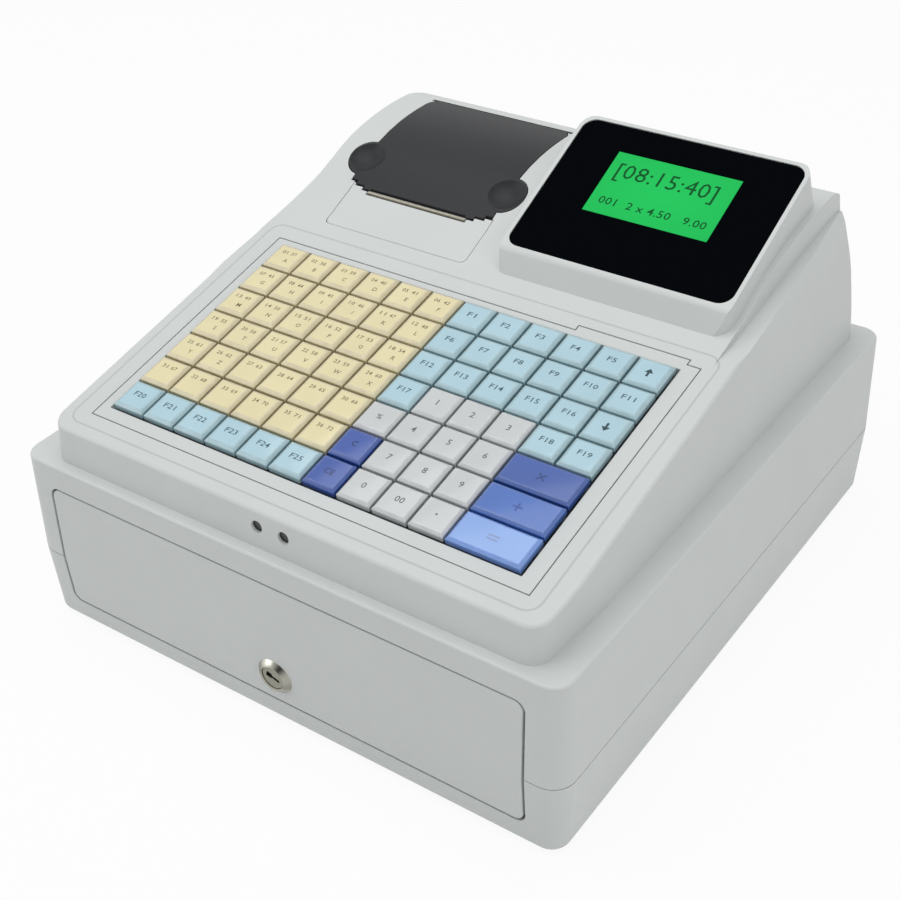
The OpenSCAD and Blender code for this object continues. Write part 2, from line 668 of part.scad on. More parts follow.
module top_case() color(shell_c) difference() {
  at_front() difference() {
    union() {
      case_body(0);
      // upright pad that the mains inlet seats on
      translate([inlet_x - 18, case_y1 - 8, body_h + 4]) cube([36, 8, 35]);
    }
    difference() {
      case_body(wall);
      // printer hinge lugs inside the skin
      for (x = [cov_x - cover_w / 2 - 5, cov_x + cover_w / 2 + 0.5])
        translate([x, hinge_y - 5, hinge_z - 6]) cube([4.5, 10, 12]);
    }
    translate([-case_hw, 0, body_h - 6]) cube([2 * case_hw, body_d, 6]);
    translate([0, 0, body_h - 1]) linear_extrude(wall + 1.2)
      translate([0, case_y0 + wall]) rr(2 * (front_hw - wall), case_y1 - case_y0 - 2 * wall, case_r - 4);
    // printer opening, paper slot and the recess of the access panel, which ends at the lid
    translate([0, 0, body_h + 50]) linear_extrude(60) {
      cover_plan(0.5);
      slot_plan();
    }
    translate([0, hinge_y, hinge_z]) {
      rod_x(cov_x - cover_w / 2 - 0.6, cov_x + cover_w / 2 + 0.6, barrel_r + 0.4);
      rod_x(cov_x - cover_w / 2 - 3.5, cov_x + cover_w / 2 + 3.5, pin_r + 0.05);
    }
    intersection() {
      translate([0, 0, body_h + 40]) linear_extrude(60) difference() {
        panel_plan(0.35);
        translate([-200, panel_y1 + 0.6]) square([400, 20]);
      }
      hump_skin(-110, -10, 1.5, 1);
    }
    // indicator holes in the front wall
    for (x = [-7.5, 7.5]) translate([x, 0, body_h + 10.7]) rod_y(0, 20, 3.05);
    // mains inlet
    translate([inlet_x - 13.7, case_y1 - 8, body_h + 15.2]) cube([27.4, 12, 19.6]);
  }
  on_deck() translate([0, 0, -10]) linear_extrude(30) bezel_plan(0.6);
  on_glass() {
    translate([glass_x, 0, -glass_t - 0.1]) linear_extrude(30)
      translate([0, -0.2]) rr(glass_w + 0.4, glass_l + 0.4, glass_r + 0.2);
    translate([glass_x, 31, -20]) linear_extrude(30) rr(67.5, 40, 1);
  }
}

module register_base() color(steel_c) at_front() {
  translate([0, 14, body_h]) linear_extrude(2)
    rr(2 * (front_hw - wall - 0.8), case_y1 - 31, 8);
  // posts that carry the key plate
  for (x = [-1, 1], v = [-62, 62])
    translate([x * (plate_x - 5), deck_y + v * cos(deck_a) + 8 * sin(deck_a), body_h + 1])
      cylinder(d = 7, h = deck_at(deck_y + v) - body_h - 12);
}

// ---- keyboard ----
module key_bezel() color(shell_c) on_deck() {
  difference() {
    translate([0, 0, -2]) linear_extrude(2) bezel_plan(0);
    cube([field_w + 2 * win_gap, field_l + 2 * win_gap, 10], center = true);
  }
  difference() {
    cube([field_w + 2 * win_gap + 3, field_l + 2 * win_gap + 3,
      -2 * (plate_h + plate_t)], center = true);
    cube([field_w + 2 * win_gap, field_l + 2 * win_gap, 30], center = true);
    translate([-150, -100, -1]) cube([300, 200, 20]);
  }
}

function key_x(c) = (c - (cols + 1) / 2) * pitch;
function key_v(r) = ((rows + 1) / 2 - r) * pitch;

module key_plate() color("#33363A") on_deck() difference() {
  translate([-plate_x, -plate_l, plate_h]) cube([2 * plate_x, 2 * plate_l - 3, plate_t]);
  for (c = [1 : cols], r = [1 : rows])
    translate([key_x(c), key_v(r), plate_h - 1]) cylinder(d = stem_d + 0.4, h = plate_t + 2);
}

module key_membrane() color("#D8DCE0") on_deck()
  translate([-field_w / 2, -field_l / 2 - 2, memb_h]) cube([field_w, field_l + 4, 0.5]);

module keyboard_pcb() color(board_c) on_deck() {
  translate([-field_w / 2 - 4, -field_l / 2 - 2, memb_h - 1.6])
    cube([field_w + 8, field_l + 4, 1.6]);
  for (x = [-1, 1], v = [-1, 0, 1])
    translate([x * (field_w / 2 + 2.2), v * 55, memb_h - 1.6])
      cylinder(d = 3.4, h = plate_h - memb_h + 1.6);
}

// one cap with its stem, n pitches wide
module cap(n = 1) {
  w = cap_w + (n - 1) * pitch;
  tw = cap_top_w + (n - 1) * pitch;
  z1 = cap_h - 1.2;
  intersection() {
    along_y(-cap_w / 2, cap_w / 2) polygon([[-w / 2, cap_skirt], [w / 2, cap_skirt],
      [w / 2, z1], [tw / 2, cap_h], [-tw / 2, cap_h], [-w / 2, z1]]);
    along_x(-w / 2, w / 2) polygon([[-cap_w / 2, cap_skirt], [cap_w / 2, cap_skirt],
      [cap_w / 2, z1], [cap_top_w / 2, cap_h], [-cap_top_w / 2, cap_h], [-cap_w / 2, z1]]);
  }
  for (i = [0 : n - 1])
    translate([(i - (n - 1) / 2) * pitch, 0, stem_end])
      cylinder(d = stem_d, h = cap_skirt - stem_end + 1);
}

module keys(c0, c1, r0, r1, tint) color(tint) on_deck()
  for (c = [c0 : c1], r = [r0 : r1]) translate([key_x(c), key_v(r), 0]) cap();

module wide_key(r, tint) color(tint) on_deck()
  translate([key_x(11.5), key_v(r), 0]) cap(2);

yellow = "#EEDFB0";
pale_blue = "#B5D6E2";
white = "#D9DCDC";
deep_blue = "#4A6CC0";

// ---- electronics ----
inlet_x = case_hw - 56.5;
supply_x = inlet_x - 36;

module main_board() color(board_c) at_front() {
  translate([-60, 84, body_h + 6]) cube([130, 86, 1.6]);
  for (x = [-55, 65], y = [89, 165]) translate([x, y, body_h + 2]) cylinder(d = 5, h = 4.2);
  translate([-20, 110, body_h + 7.5]) cube([24, 24, 2.5]);
  translate([20, 100, body_h + 7.5]) cube([16, 30, 3]);
  translate([-50, 140, body_h + 7.5]) cube([40, 8, 7]);
  translate([40, 140, body_h + 7.5]) cylinder(d = 10, h = 9);
  translate([54, 150, body_h + 7.5]) cylinder(d = 8, h = 8);
}

module power_supply() color("#6C6F73") at_front() {
  translate([supply_x, 218, body_h + 2]) {
    cube([62, 3, 12]);
    translate([0, 44, 0]) cube([62, 3, 12]);
    cube([62, 47, 2]);
    translate([8, 5, 2]) cube([46, 37, 40]);
    translate([14, 1, 8]) cube([34, 45, 28]);
  }
}

module power_inlet() color(rubber_c) at_front() difference() {
  union() {
    translate([inlet_x - 16, case_y1, body_h + 13]) cube([32, 1.6, 24]);
    translate([inlet_x - 13.5, case_y1 - 16, body_h + 15.4]) cube([27, 16.5, 19.2]);
  }
  translate([inlet_x - 10, case_y1 - 12, body_h + 19]) difference() {
    cube([20, 20, 12]);
    for (x = [5, 15]) translate([x, 0, 6]) rod_y(-1, 10, 1.2);
  }
}

module front_lenses() color(rubber_c) at_front()
  for (x = [-7.5, 7.5]) translate([x, 0, body_h + 10.7]) {
    rod_y(case_y0 + 2.4, case_y0 + 9, 3);
    rod_y(case_y0 + 6.2, case_y0 + 9, 4);
  }

module display_glass() color("#05070B") on_glass()
  translate([glass_x, 0, -glass_t]) linear_extrude(glass_t) rr(glass_w, glass_l, glass_r);

module lcd_module() color("#23C14F") on_glass() {
  translate([glass_x, 26, -12]) linear_extrude(6.4) rr(76, 50, 1);
  translate([glass_x, 31.5, -6.6]) linear_extrude(4.1) rr(66.5, 39, 0.6);
  translate([glass_x, 21, -13.6]) linear_extrude(1.6) rr(86, 60, 1);
}

// ---- printer ----
module printer_cover() color(dark_c) at_front() difference() {
  union() {
    intersection() {
      hump_skin(cov_x - 70, cov_x + 70, cov_t);
      translate([0, 0, body_h + 50]) linear_extrude(60) cover_plan(0);
    }
    translate([0, hinge_y, hinge_z]) {
      rod_x(cov_x - cover_w / 2, cov_x + cover_w / 2, barrel_r);
      rod_x(cov_x - cover_w / 2 - 3, cov_x + cover_w / 2 + 3, pin_r);
    }
    // bowls of the two finger dips
    for (x = [-1, 1]) intersection() {
      translate([cov_x + x * (cover_w / 2 - 0.4), ear_y, body_h + 60])
        cylinder(r = ear_r - 0.6, h = 30);
      translate([cov_x + x * (cover_w / 2 - 0.4), dip_y, dip_z]) sphere(r = dip_r + 1.8, $fn = 64);
      along_x(cov_x - cover_w, cov_x + cover_w) offset(delta = -0.3) hump_outline();
    }
  }
  for (x = [-1, 1]) translate([cov_x + x * (cover_w / 2 - 0.4), dip_y, dip_z])
    sphere(r = dip_r, $fn = 64);
}

module access_panel() color(shell_c) at_front() intersection() {
  hump_skin(-110, -10, 1.5);
  translate([0, 0, body_h + 40]) linear_extrude(60) difference() {
    panel_plan(0);
    translate([-200, panel_y1]) square([400, 20]);
    cover_plan(0.5);
    slot_plan();
  }
}

module printer_frame() color(dark_c) at_front() {
  x0 = cov_x - paper_w / 2 - 2;
  x1 = cov_x + paper_w / 2 + 2;
  // bucket for the paper roll
  difference() {
    translate([0, roll_y, roll_z]) rod_x(x0 - 2, x1 + 2, paper_d / 2 + 4);
    translate([0, roll_y, roll_z]) rod_x(x0, x1, paper_d / 2 + 2);
    translate([x0 - 5, roll_y - 50, roll_z + 10]) cube([x1 - x0 + 10, 100, 50]);
  }
  for (x = [x0 - 5, x1 + 2])
    translate([x, 197, body_h + 2]) cube([3, roll_y - 185, 26]);
  // print mechanism with its cheeks
  difference() {
    union() {
      for (x = [x0 - 5, x1 + 2]) {
        translate([x, 197, body_h + 2]) cube([3, 27, 50]);
        translate([x, 208, body_h + 20]) cube([3, 16, 42]);
      }
      translate([x0 - 3, 197, body_h + 30]) cube([x1 - x0 + 6, 12.5, 24]);
      translate([x0 - 3, 209, body_h + 30]) cube([x1 - x0 + 6, 15, 8]);
    }
    translate([0, platen_y, platen_z]) rod_x(x0 - 8, x1 + 8, 2.05);
  }
}

module platen_roller() color(rubber_c) at_front() translate([0, platen_y, platen_z]) {
  x0 = cov_x - paper_w / 2 - 1;
  x1 = cov_x + paper_w / 2 + 1;
  rod_x(x0, x1, platen_r);
  rod_x(x0 - 8, x1 + 12, 2);
  rod_x(x1 + 6.4, x1 + 10, 5);
}

module paper_roll() color("#F4F4F0") at_front()
  translate([0, roll_y, roll_z - roll_drop]) difference() {
  rod_x(cov_x - paper_w / 2, cov_x + paper_w / 2, paper_d / 2);
  rod_x(cov_x - paper_w, cov_x + paper_w, 6);
}

module tear_bar() color("#BDB9AC") at_front() {
  w = slot_w - 1;
  translate([cov_x - w / 2, 206.4, body_h + 54]) cube([w, 1.8, 12.4]);
  translate([cov_x - w / 2, 203.2, body_h + 54]) cube([w, 3.4, 5]);
}

module case_screws() color(steel_c) at_front()
  for (x = [-1, 1], y = [boss_y, body_d - boss_y])
    translate([x * boss_x, y, 0.4]) {
      difference() {
        cylinder(d = 7, h = 2.2);
        for (a = [0, 90]) rotate(a) translate([-2.2, -0.5, -1]) cube([4.4, 1, 2]);
      }
      cylinder(d = 3.4, h = seam_h + 14);
    }

drawer_housing();
drawer_pan();
rubber_feet();
drawer_front();
drawer_box();
till_tray();
bill_clip(0);  // bill_clip_l
bill_clip(1);  // bill_clip_m
bill_clip(2);  // bill_clip_r
drawer_rails();
eject_spring();
latch_solenoid();
latch_plunger();
latch_hook();
lock_barrel();
lock_plug();
lock_cam();
top_case();
register_base();
key_bezel();
key_plate();
key_membrane();
keyboard_pcb();
main_board();
power_supply();
display_glass();
lcd_module();
front_lenses();
printer_cover();
access_panel();
printer_frame();
platen_roller();
paper_roll();
tear_bar();
power_inlet();
case_screws();
keys(1, 6, 1, 2, yellow);  // keys_yellow_back
keys(1, 6, 3, 4, yellow);  // keys_yellow_mid
keys(1, 6, 5, 6, yellow);  // keys_yellow_front
keys(1, 6, 7, 7, pale_blue);  // keys_blue_row7
keys(7, 12, 1, 2, pale_blue);  // keys_fn_back
union() {  // keys_fn_front
  keys(7, 12, 3, 3, pale_blue);
  keys(7, 7, 4, 4, pale_blue);
  keys(11, 12, 4, 4, pale_blue);
}
keys(7, 7, 5, 5, white);  // key_c7_r5
keys(7, 7, 6, 6, deep_blue);  // key_c7_r6
keys(7, 7, 7, 7, deep_blue);  // key_c7_r7
keys(8, 8, 4, 4, white);  // key_1
keys(9, 9, 4, 4, white);  // key_2
keys(10, 10, 4, 4, white);  // key_3
keys(8, 8, 5, 5, white);  // key_4
keys(9, 9, 5, 5, white);  // key_5
keys(10, 10, 5, 5, white);  // key_6
keys(8, 8, 6, 6, white);  // key_7
keys(9, 9, 6, 6, white);  // key_8
keys(10, 10, 6, 6, white);  // key_9
keys(8, 8, 7, 7, white);  // key_0
keys(9, 9, 7, 7, white);  // key_00
keys(10, 10, 7, 7, white);  // key_dot
wide_key(5, "#5F80CC");  // key_wide_back
wide_key(6, "#6F8FD6");  // key_wide_mid
wide_key(7, "#A9C0F0");  // key_wide_front
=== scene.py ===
"""Electronic cash register: keyboard unit with receipt printer and operator display
on a lockable cash drawer.  The construction solids are loaded as a fixed frame and
dressed here, piece by piece, from the sidebar's operators."""
import json
import math

import bmesh
import bpy
from mathutils import Matrix, Vector


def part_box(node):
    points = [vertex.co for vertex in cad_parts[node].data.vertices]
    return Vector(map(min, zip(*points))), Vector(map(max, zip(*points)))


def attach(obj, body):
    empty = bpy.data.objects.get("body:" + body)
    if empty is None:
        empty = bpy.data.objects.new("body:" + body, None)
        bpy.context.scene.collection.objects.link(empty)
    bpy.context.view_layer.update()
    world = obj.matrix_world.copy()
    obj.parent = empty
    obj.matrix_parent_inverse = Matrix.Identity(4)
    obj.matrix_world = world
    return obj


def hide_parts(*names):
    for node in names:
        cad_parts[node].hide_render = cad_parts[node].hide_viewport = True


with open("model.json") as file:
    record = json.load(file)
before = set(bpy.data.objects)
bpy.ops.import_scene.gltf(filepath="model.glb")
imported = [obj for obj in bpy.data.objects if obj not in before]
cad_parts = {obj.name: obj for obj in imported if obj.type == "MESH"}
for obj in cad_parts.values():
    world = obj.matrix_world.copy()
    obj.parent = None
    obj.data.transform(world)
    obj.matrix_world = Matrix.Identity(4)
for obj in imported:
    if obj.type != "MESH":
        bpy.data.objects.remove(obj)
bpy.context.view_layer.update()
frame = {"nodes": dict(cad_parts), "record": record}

bl_info = {
    "name": "Cash Register Builder",
    "version": (1, 0, 0),
    "blender": (4, 5, 0),
    "location": "View3D > Sidebar > Register",
    "description": "Dresses the construction solids of a cash register as finished pieces",
    "category": "Object",
}

MM = 0.001
RECORD = frame["record"]
BODY_OF = {n: b for b, nodes in RECORD["behaviour"]["bodies"].items() for n in nodes}
SLOT_OF = {s["node"]: s["material_slot"] for s in RECORD["subparts"]}

# the sloping keyboard deck and the display glass, as planes: x right, y up the slope
DECK = Matrix.Translation((0, -66.2 * MM, 135.7 * MM)) @ Matrix.Rotation(math.radians(11.55), 4, "X")
GLASS = Matrix.Translation((0, 30 * MM, 168.5 * MM)) @ Matrix.Rotation(math.radians(24.3), 4, "X")
DECK_UP = (DECK.to_3x3() @ Vector((0, 0, 1))).normalized()
GLASS_UP = (GLASS.to_3x3() @ Vector((0, 0, 1))).normalized()

# places in mm: the keys on the deck, the rim and opening of the display on its glass
PITCH = 19.05
COLS, ROWS = 12, 7
CAP_TOP = 2.6
CARD_SINK, PRINT_SINK = 0.06, 0.04
POD_MIDDLE, POD_HALF, POD_Y = 62, 61.2, (-1.2, 87.8)
OPENING_X, OPENING_Y = (28.4, 95.6), (31.2, 70.8)
SCREEN_GAP = 0.15
SCREEN_TOP = -0.35

# places in the frame: the deck's free edge lies beyond its side or front and before the hump
DECK_SIDE_X = 130 * MM
DECK_FRONT_Y = -145.5 * MM
HUMP_Y = 11 * MM
LOCK_HUB = (0, 0, 31.5 * MM)
PAPER_HUB = (-62.8 * MM, 96 * MM, 144.1 * MM)
INLET_Z = 124 * MM

# values that several finishes share
ACRYLIC_IOR = 1.49
MIDDLE = {"From Min": 0.3, "From Max": 0.7}     # the band that most of a noise lies in
# painted shade: darkens the shell's colour along the deck's rim crease
PAINTED_CREASE_SHADE = (0.80, 0.81, 0.82, 1)
PAINTED_SHEEN_SECTORS = ((112, 1.0), (58, -0.85), (-20, -0.3), (165, -0.35))    # painted reflection round the lock, bright and dark sectors: middle in degrees, gain
PAINTED_SHEEN_BASE = 0.95
PAINTED_SHEEN_POWER = 18


# ---- colours

def linear(hexcode):
    """sRGB hex to linear RGBA."""
    out = []
    for i in (1, 3, 5):
        c = int(hexcode[i:i + 2], 16) / 255
        out.append(c / 12.92 if c <= 0.04045 else ((c + 0.055) / 1.055) ** 2.4)
    return (*out, 1.0)


def to_hex(colour):
    """The hex value of a colour property, which holds sRGB values."""
    return "#" + "".join("%02X" % round(max(0, min(1, c)) * 255) for c in colour[:3])


def srgb(hexcode):
    """sRGB hex to the values of a colour property."""
    return tuple(int(hexcode[i:i + 2], 16) / 255 for i in (1, 3, 5))


def tint(name, description, hexcode):
    """A colour property."""
    return bpy.props.FloatVectorProperty(name=name, description=description, size=3,
        subtype="COLOR_GAMMA", min=0, max=1, default=srgb(hexcode))


def length(name, description, mm):
    """A size property."""
    return bpy.props.FloatProperty(name=name, description=description, unit="LENGTH",
        subtype="DISTANCE", min=0, default=mm * MM)


class RegisterColours(bpy.types.PropertyGroup):
    """Colours of the moulded, printed and plated finishes."""
    shell: tint("Shell", "Light grey ABS of the upper case and the drawer housing", "#C9CDCC")
    pan: tint("Pan", "Light grey ABS of the lower pan", "#C9CDCC")
    lid: tint("Printer lid", "Dark grey ABS of the printer cover", "#2C2D2F")
    tray: tint("Till tray", "Dark grey ABS of the till tray", "#3C3E41")
    yellow_card: tint("Yellow card", "Legend card of the number keys", "#DCD1A5")
    blue_card: tint("Pale blue card", "Legend card of the function keys", "#A6C7D3")
    white_card: tint("White card", "Legend card of the digit keys", "#C0C4C5")
    deep_card: tint("Blue card", "Legend card of the deep blue keys", "#284C9C")
    back_card: tint("Back wide card", "Legend card of the back wide key", "#33549F")
    mid_card: tint("Middle wide card", "Legend card of the middle wide key", "#4269B4")
    front_card: tint("Front wide card", "Legend card of the front wide key", "#84A6E0")
    glass: tint("Window", "Back printed display window", "#07090C")
    backlight: tint("Backlight", "Green of the lit display", "#20C15A")
    nickel: tint("Nickel", "Plating of the drawer lock", "#A9A79C")
    paper: tint("Paper", "Thermal paper", "#F2F2EE")


class RegisterSizes(bpy.types.PropertyGroup):
    """Sizes of edges, printing and small trim."""
    shell_edge: length("Shell edge", "Radius of the moulded shells' edges", 0.5)
    deck_edge: length("Deck edge", "Rounding along the edge of the keyboard deck", 1.7)
    pod_edge: length("Display edge", "Rounding round the display's rim", 1.0)
    key_edge: length("Key edge", "Radius of a key cap's edges", 0.5)
    card_margin: length("Card margin", "Clear rim round a key's legend card", 0.4)
    sheet_edge: length("Sheet edge", "Radius of the folded sheet parts' edges", 0.3)
    print_height: length("Print height", "Thickness of printed legends", 0.02)
    big_digit: length("Large digits", "Height of the display's upper line", 11.9)
    small_digit: length("Small digits", "Height of the display's lower line", 4.6)


def settings(context):
    """The colours and sizes of the panel."""
    return context.scene.register_colours, context.scene.register_sizes


# ---- node helpers

def add(tree, kind, settings=None, inputs=None):
    """Adds a node, sets its properties and fills or links its inputs."""
    node = tree.nodes.new(kind)
    for key, value in (settings or {}).items():
        setattr(node, key, value)
    for key, value in (inputs or {}).items():
        if isinstance(value, bpy.types.NodeSocket):
            tree.links.new(value, node.inputs[key])
        else:
            node.inputs[key].default_value = value
    return node


def chain(tree, kind, value, *steps):
    """Runs a value through a row of operations, each followed by its other operands."""
    for operation, *others in steps:
        operands = dict(enumerate((value, *others)))
        value = add(tree, kind, {"operation": operation}, operands).outputs[0]
    return value


def shade(colour, factor):
    """A colour made darker or lighter."""
    return (*(min(1, c * factor) for c in colour[:3]), 1.0)


def sized(at, mm, **more):
    """Inputs of a pattern that is drawn at a real size in mm."""
    return {"Vector": at, "Scale": 1 / (mm * MM), **more}


def toned(tree, base, pattern, low, high, band=MIDDLE):
    """A colour that a pattern makes from low to high times as bright."""
    level = add(tree, "ShaderNodeMapRange", None,
        {"Value": pattern, **band, "To Min": low, "To Max": high})
    return add(tree, "ShaderNodeVectorMath", {"operation": "SCALE"},
        {0: base[:3], "Scale": level.outputs["Result"]}).outputs[0]


def blank_tree(owner):
    """The emptied node tree of a material or a world."""
    owner.use_nodes = True
    owner.node_tree.nodes.clear()
    return owner.node_tree


def finish(fixed, usual=None):
    """Turns a function that draws a finish's patterns into one that makes its material,
    of the usual colour if no other is named.  The patterns come back as inputs of the
    shader, and Relief as (height, strength, depth in mm), a groove's depth below zero."""
    def wrap(patterns):
        def make(name, hexcode=usual, **options):
            if name in bpy.data.materials:
                return bpy.data.materials[name]
            mat = bpy.data.materials.new(name)
            tree = blank_tree(mat)
            at = add(tree, "ShaderNodeTexCoord").outputs["Object"]
            inputs = {**fixed, **patterns(tree, at, linear(hexcode), **options)}
            under = {}
            for height, strength, depth in inputs.pop("Relief", ()):
                bump = add(tree, "ShaderNodeBump", {"invert": depth < 0}, {"Height": height,
                    "Strength": strength, "Distance": abs(depth) * MM, **under})
                under = {"Normal": bump.outputs["Normal"]}
            shader = add(tree, "ShaderNodeBsdfPrincipled", None, {**inputs, **under})
            add(tree, "ShaderNodeOutputMaterial", None, {"Surface": shader.outputs["BSDF"]})
            if isinstance(inputs.get("Base Color"), tuple):
                mat.diffuse_color = inputs["Base Color"]
            return mat
        make.__doc__ = patterns.__doc__
        return make
    return wrap


# ---- materials

@finish({"Metallic": 0.0, "IOR": 1.53})
def moulded_abs(tree, at, base, grain=0.7, rough=0.46, gloss=0.42, rim=False):
    """ABS, injection moulded against a spark-eroded tool: a soft sheen broken by a fine
    even grain.  The real grain is about 0.2 mm; it is drawn coarser so that it shows."""
    fine = add(tree, "ShaderNodeTexNoise", None, sized(at, grain, Detail=3.0, Roughness=0.6))
    wide = add(tree, "ShaderNodeTexNoise", None, sized(at, 38, Detail=2.0))
    flow = add(tree, "ShaderNodeValToRGB", None, {"Fac": wide.outputs["Fac"]})
    for stop, where, factor in zip(flow.color_ramp.elements, (0.3, 0.7), (0.985, 1.012)):
        stop.position = where
        stop.color = shade(base, factor)
    colour = add(tree, "ShaderNodeMixRGB", {"blend_type": "MULTIPLY"},
        {"Fac": 0.05, "Color1": flow.outputs["Color"], "Color2": fine.outputs["Color"]})
    sheen = add(tree, "ShaderNodeMapRange", None, {"Value": fine.outputs["Fac"], **MIDDLE,
        "To Min": rough - 0.05, "To Max": rough + 0.06})
    relief = [(fine.outputs["Fac"], 0.35, 0.02)]
    if rim:
        line = deck_rim(tree, at)
        # the rim crease is a real groove in the relief below; its colour is darkened too, painted
        # shade
        colour = add(tree, "ShaderNodeMixRGB", {"blend_type": "MULTIPLY"},
            {"Fac": line, "Color1": colour.outputs["Color"], "Color2": PAINTED_CREASE_SHADE})
        relief.append((line, 0.6, -0.25))
    return {"Base Color": colour.outputs["Color"], "Roughness": sheen.outputs["Result"],
            "Specular IOR Level": gloss, "Relief": relief}


def deck_rim(tree, at):
    """The shallow crease that runs round the deck, 12 mm outside the keyboard's bezel."""
    laid = add(tree, "ShaderNodeMapping", {"vector_type": "TEXTURE"}, {"Vector": at,
        "Location": DECK.to_translation(), "Rotation": DECK.to_euler()})
    split = add(tree, "ShaderNodeSeparateXYZ", None, {"Vector": laid.outputs["Vector"]})
    radius = 7 * MM
    past = [chain(tree, "ShaderNodeMath", split.outputs[axis], ("SUBTRACT", centre),
                  ("ABSOLUTE",), ("SUBTRACT", reach - radius))
            for axis, reach, centre in (("X", 130 * MM, 0), ("Y", 81.5 * MM, -0.8 * MM))]
    beyond = [chain(tree, "ShaderNodeMath", p, ("MAXIMUM", 0.0)) for p in past]
    flat = add(tree, "ShaderNodeCombineXYZ", None, {"X": beyond[0], "Y": beyond[1]})
    corner = add(tree, "ShaderNodeVectorMath", {"operation": "LENGTH"}, {0: flat.outputs[0]})
    inner = chain(tree, "ShaderNodeMath", past[0], ("MAXIMUM", past[1]), ("MINIMUM", 0.0))
    away = chain(tree, "ShaderNodeMath", corner.outputs["Value"], ("ADD", inner),
                 ("SUBTRACT", radius), ("ABSOLUTE",))
    line = add(tree, "ShaderNodeMapRange", {"interpolation_type": "SMOOTHSTEP"}, {"Value": away,
        "From Min": 0.15 * MM, "From Max": 0.7 * MM, "To Min": 1.0, "To Max": 0.0})
    return chain(tree, "ShaderNodeMath", split.outputs["Z"], ("ABSOLUTE",),
                 ("LESS_THAN", 0.6 * MM), ("MULTIPLY", line.outputs["Result"]))


@finish({"Roughness": 0.55, "Specular IOR Level": 0.35, "Coat Weight": 0.75,
    "Coat Roughness": 0.1, "Coat IOR": ACRYLIC_IOR})
def legend_card(tree, at, base):
    """Printed card under a clear acrylic cap: matt paper fibre seen through a glossy skin."""
    fibre = add(tree, "ShaderNodeTexNoise", None, sized(at, 0.9, Detail=4.0, Roughness=0.7))
    cloud = add(tree, "ShaderNodeTexNoise", None, sized(at, 24, Detail=1.0))
    level = 1.0
    for pattern, part in ((cloud, 0.03), (fibre, 0.015)):
        band = add(tree, "ShaderNodeMapRange", None, {"Value": pattern.outputs["Fac"],
            **MIDDLE, "To Min": 1 - part, "To Max": 1 + part})
        level = chain(tree, "ShaderNodeMath", band.outputs["Result"], ("MULTIPLY", level))
    colour = add(tree, "ShaderNodeVectorMath", {"operation": "SCALE"},
        {0: base[:3], "Scale": level})
    return {"Base Color": colour.outputs[0], "Relief": [(fibre.outputs["Fac"], 0.12, 0.01)]}


@finish({"Roughness": 0.22, "IOR": ACRYLIC_IOR, "Specular IOR Level": 0.5,
    "Coat Weight": 0.6, "Coat Roughness": 0.06, "Coat IOR": ACRYLIC_IOR,
    "Subsurface Weight": 0.12, "Subsurface Radius": (1.0, 1.0, 1.0),
    "Subsurface Scale": 1.2 * MM})
def cap_acrylic(tree, at, base):
    """Clear acrylic cap, polished mould: the card's colour glows through it, paler and
    greyer, and its edges catch the light.  Sink marks of 6 mm bend the reflections."""
    sink = add(tree, "ShaderNodeTexNoise", None, sized(at, 6, Detail=1.0)).outputs["Fac"]
    return {"Base Color": toned(tree, base, sink, 0.93, 1.05), "Relief": [(sink, 0.15, 0.05)]}


@finish({"Roughness": 0.5, "Specular IOR Level": 0.2, "Coat Weight": 0.5,
    "Coat Roughness": 0.1})
def legend_ink(tree, at, base):
    """Screen-printed ink: flat, a little uneven where the screen's mesh of about 0.1 mm
    lets less through, drawn here at 0.4 mm."""
    screen = add(tree, "ShaderNodeTexNoise", None, sized(at, 0.4, Detail=1.0))
    return {"Base Color": toned(tree, base, screen.outputs["Fac"], 0.85, 1.15)}


@finish({"IOR": ACRYLIC_IOR, "Specular IOR Level": 0.0})
def printed_window(tree, at, base):
    """Acrylic window printed black on its back: deep even black.  Its mirror is switched
    off, and the faint wiping marks, 15 mm apart, are in its roughness alone."""
    wipe = add(tree, "ShaderNodeMapping", None, {"Vector": at, "Rotation": (0, 0, 0.5),
        "Scale": (1 / (15 * MM), 1 / (60 * MM), 1 / (60 * MM))})
    marks = add(tree, "ShaderNodeTexNoise", None,
        {"Vector": wipe.outputs["Vector"], "Scale": 1.0, "Detail": 5.0, "Distortion": 0.6})
    rough = add(tree, "ShaderNodeMapRange", None, {"Value": marks.outputs["Fac"],
        "From Min": 0.35, "From Max": 0.7, "To Min": 0.1, "To Max": 0.2})
    return {"Base Color": base, "Roughness": rough.outputs["Result"]}


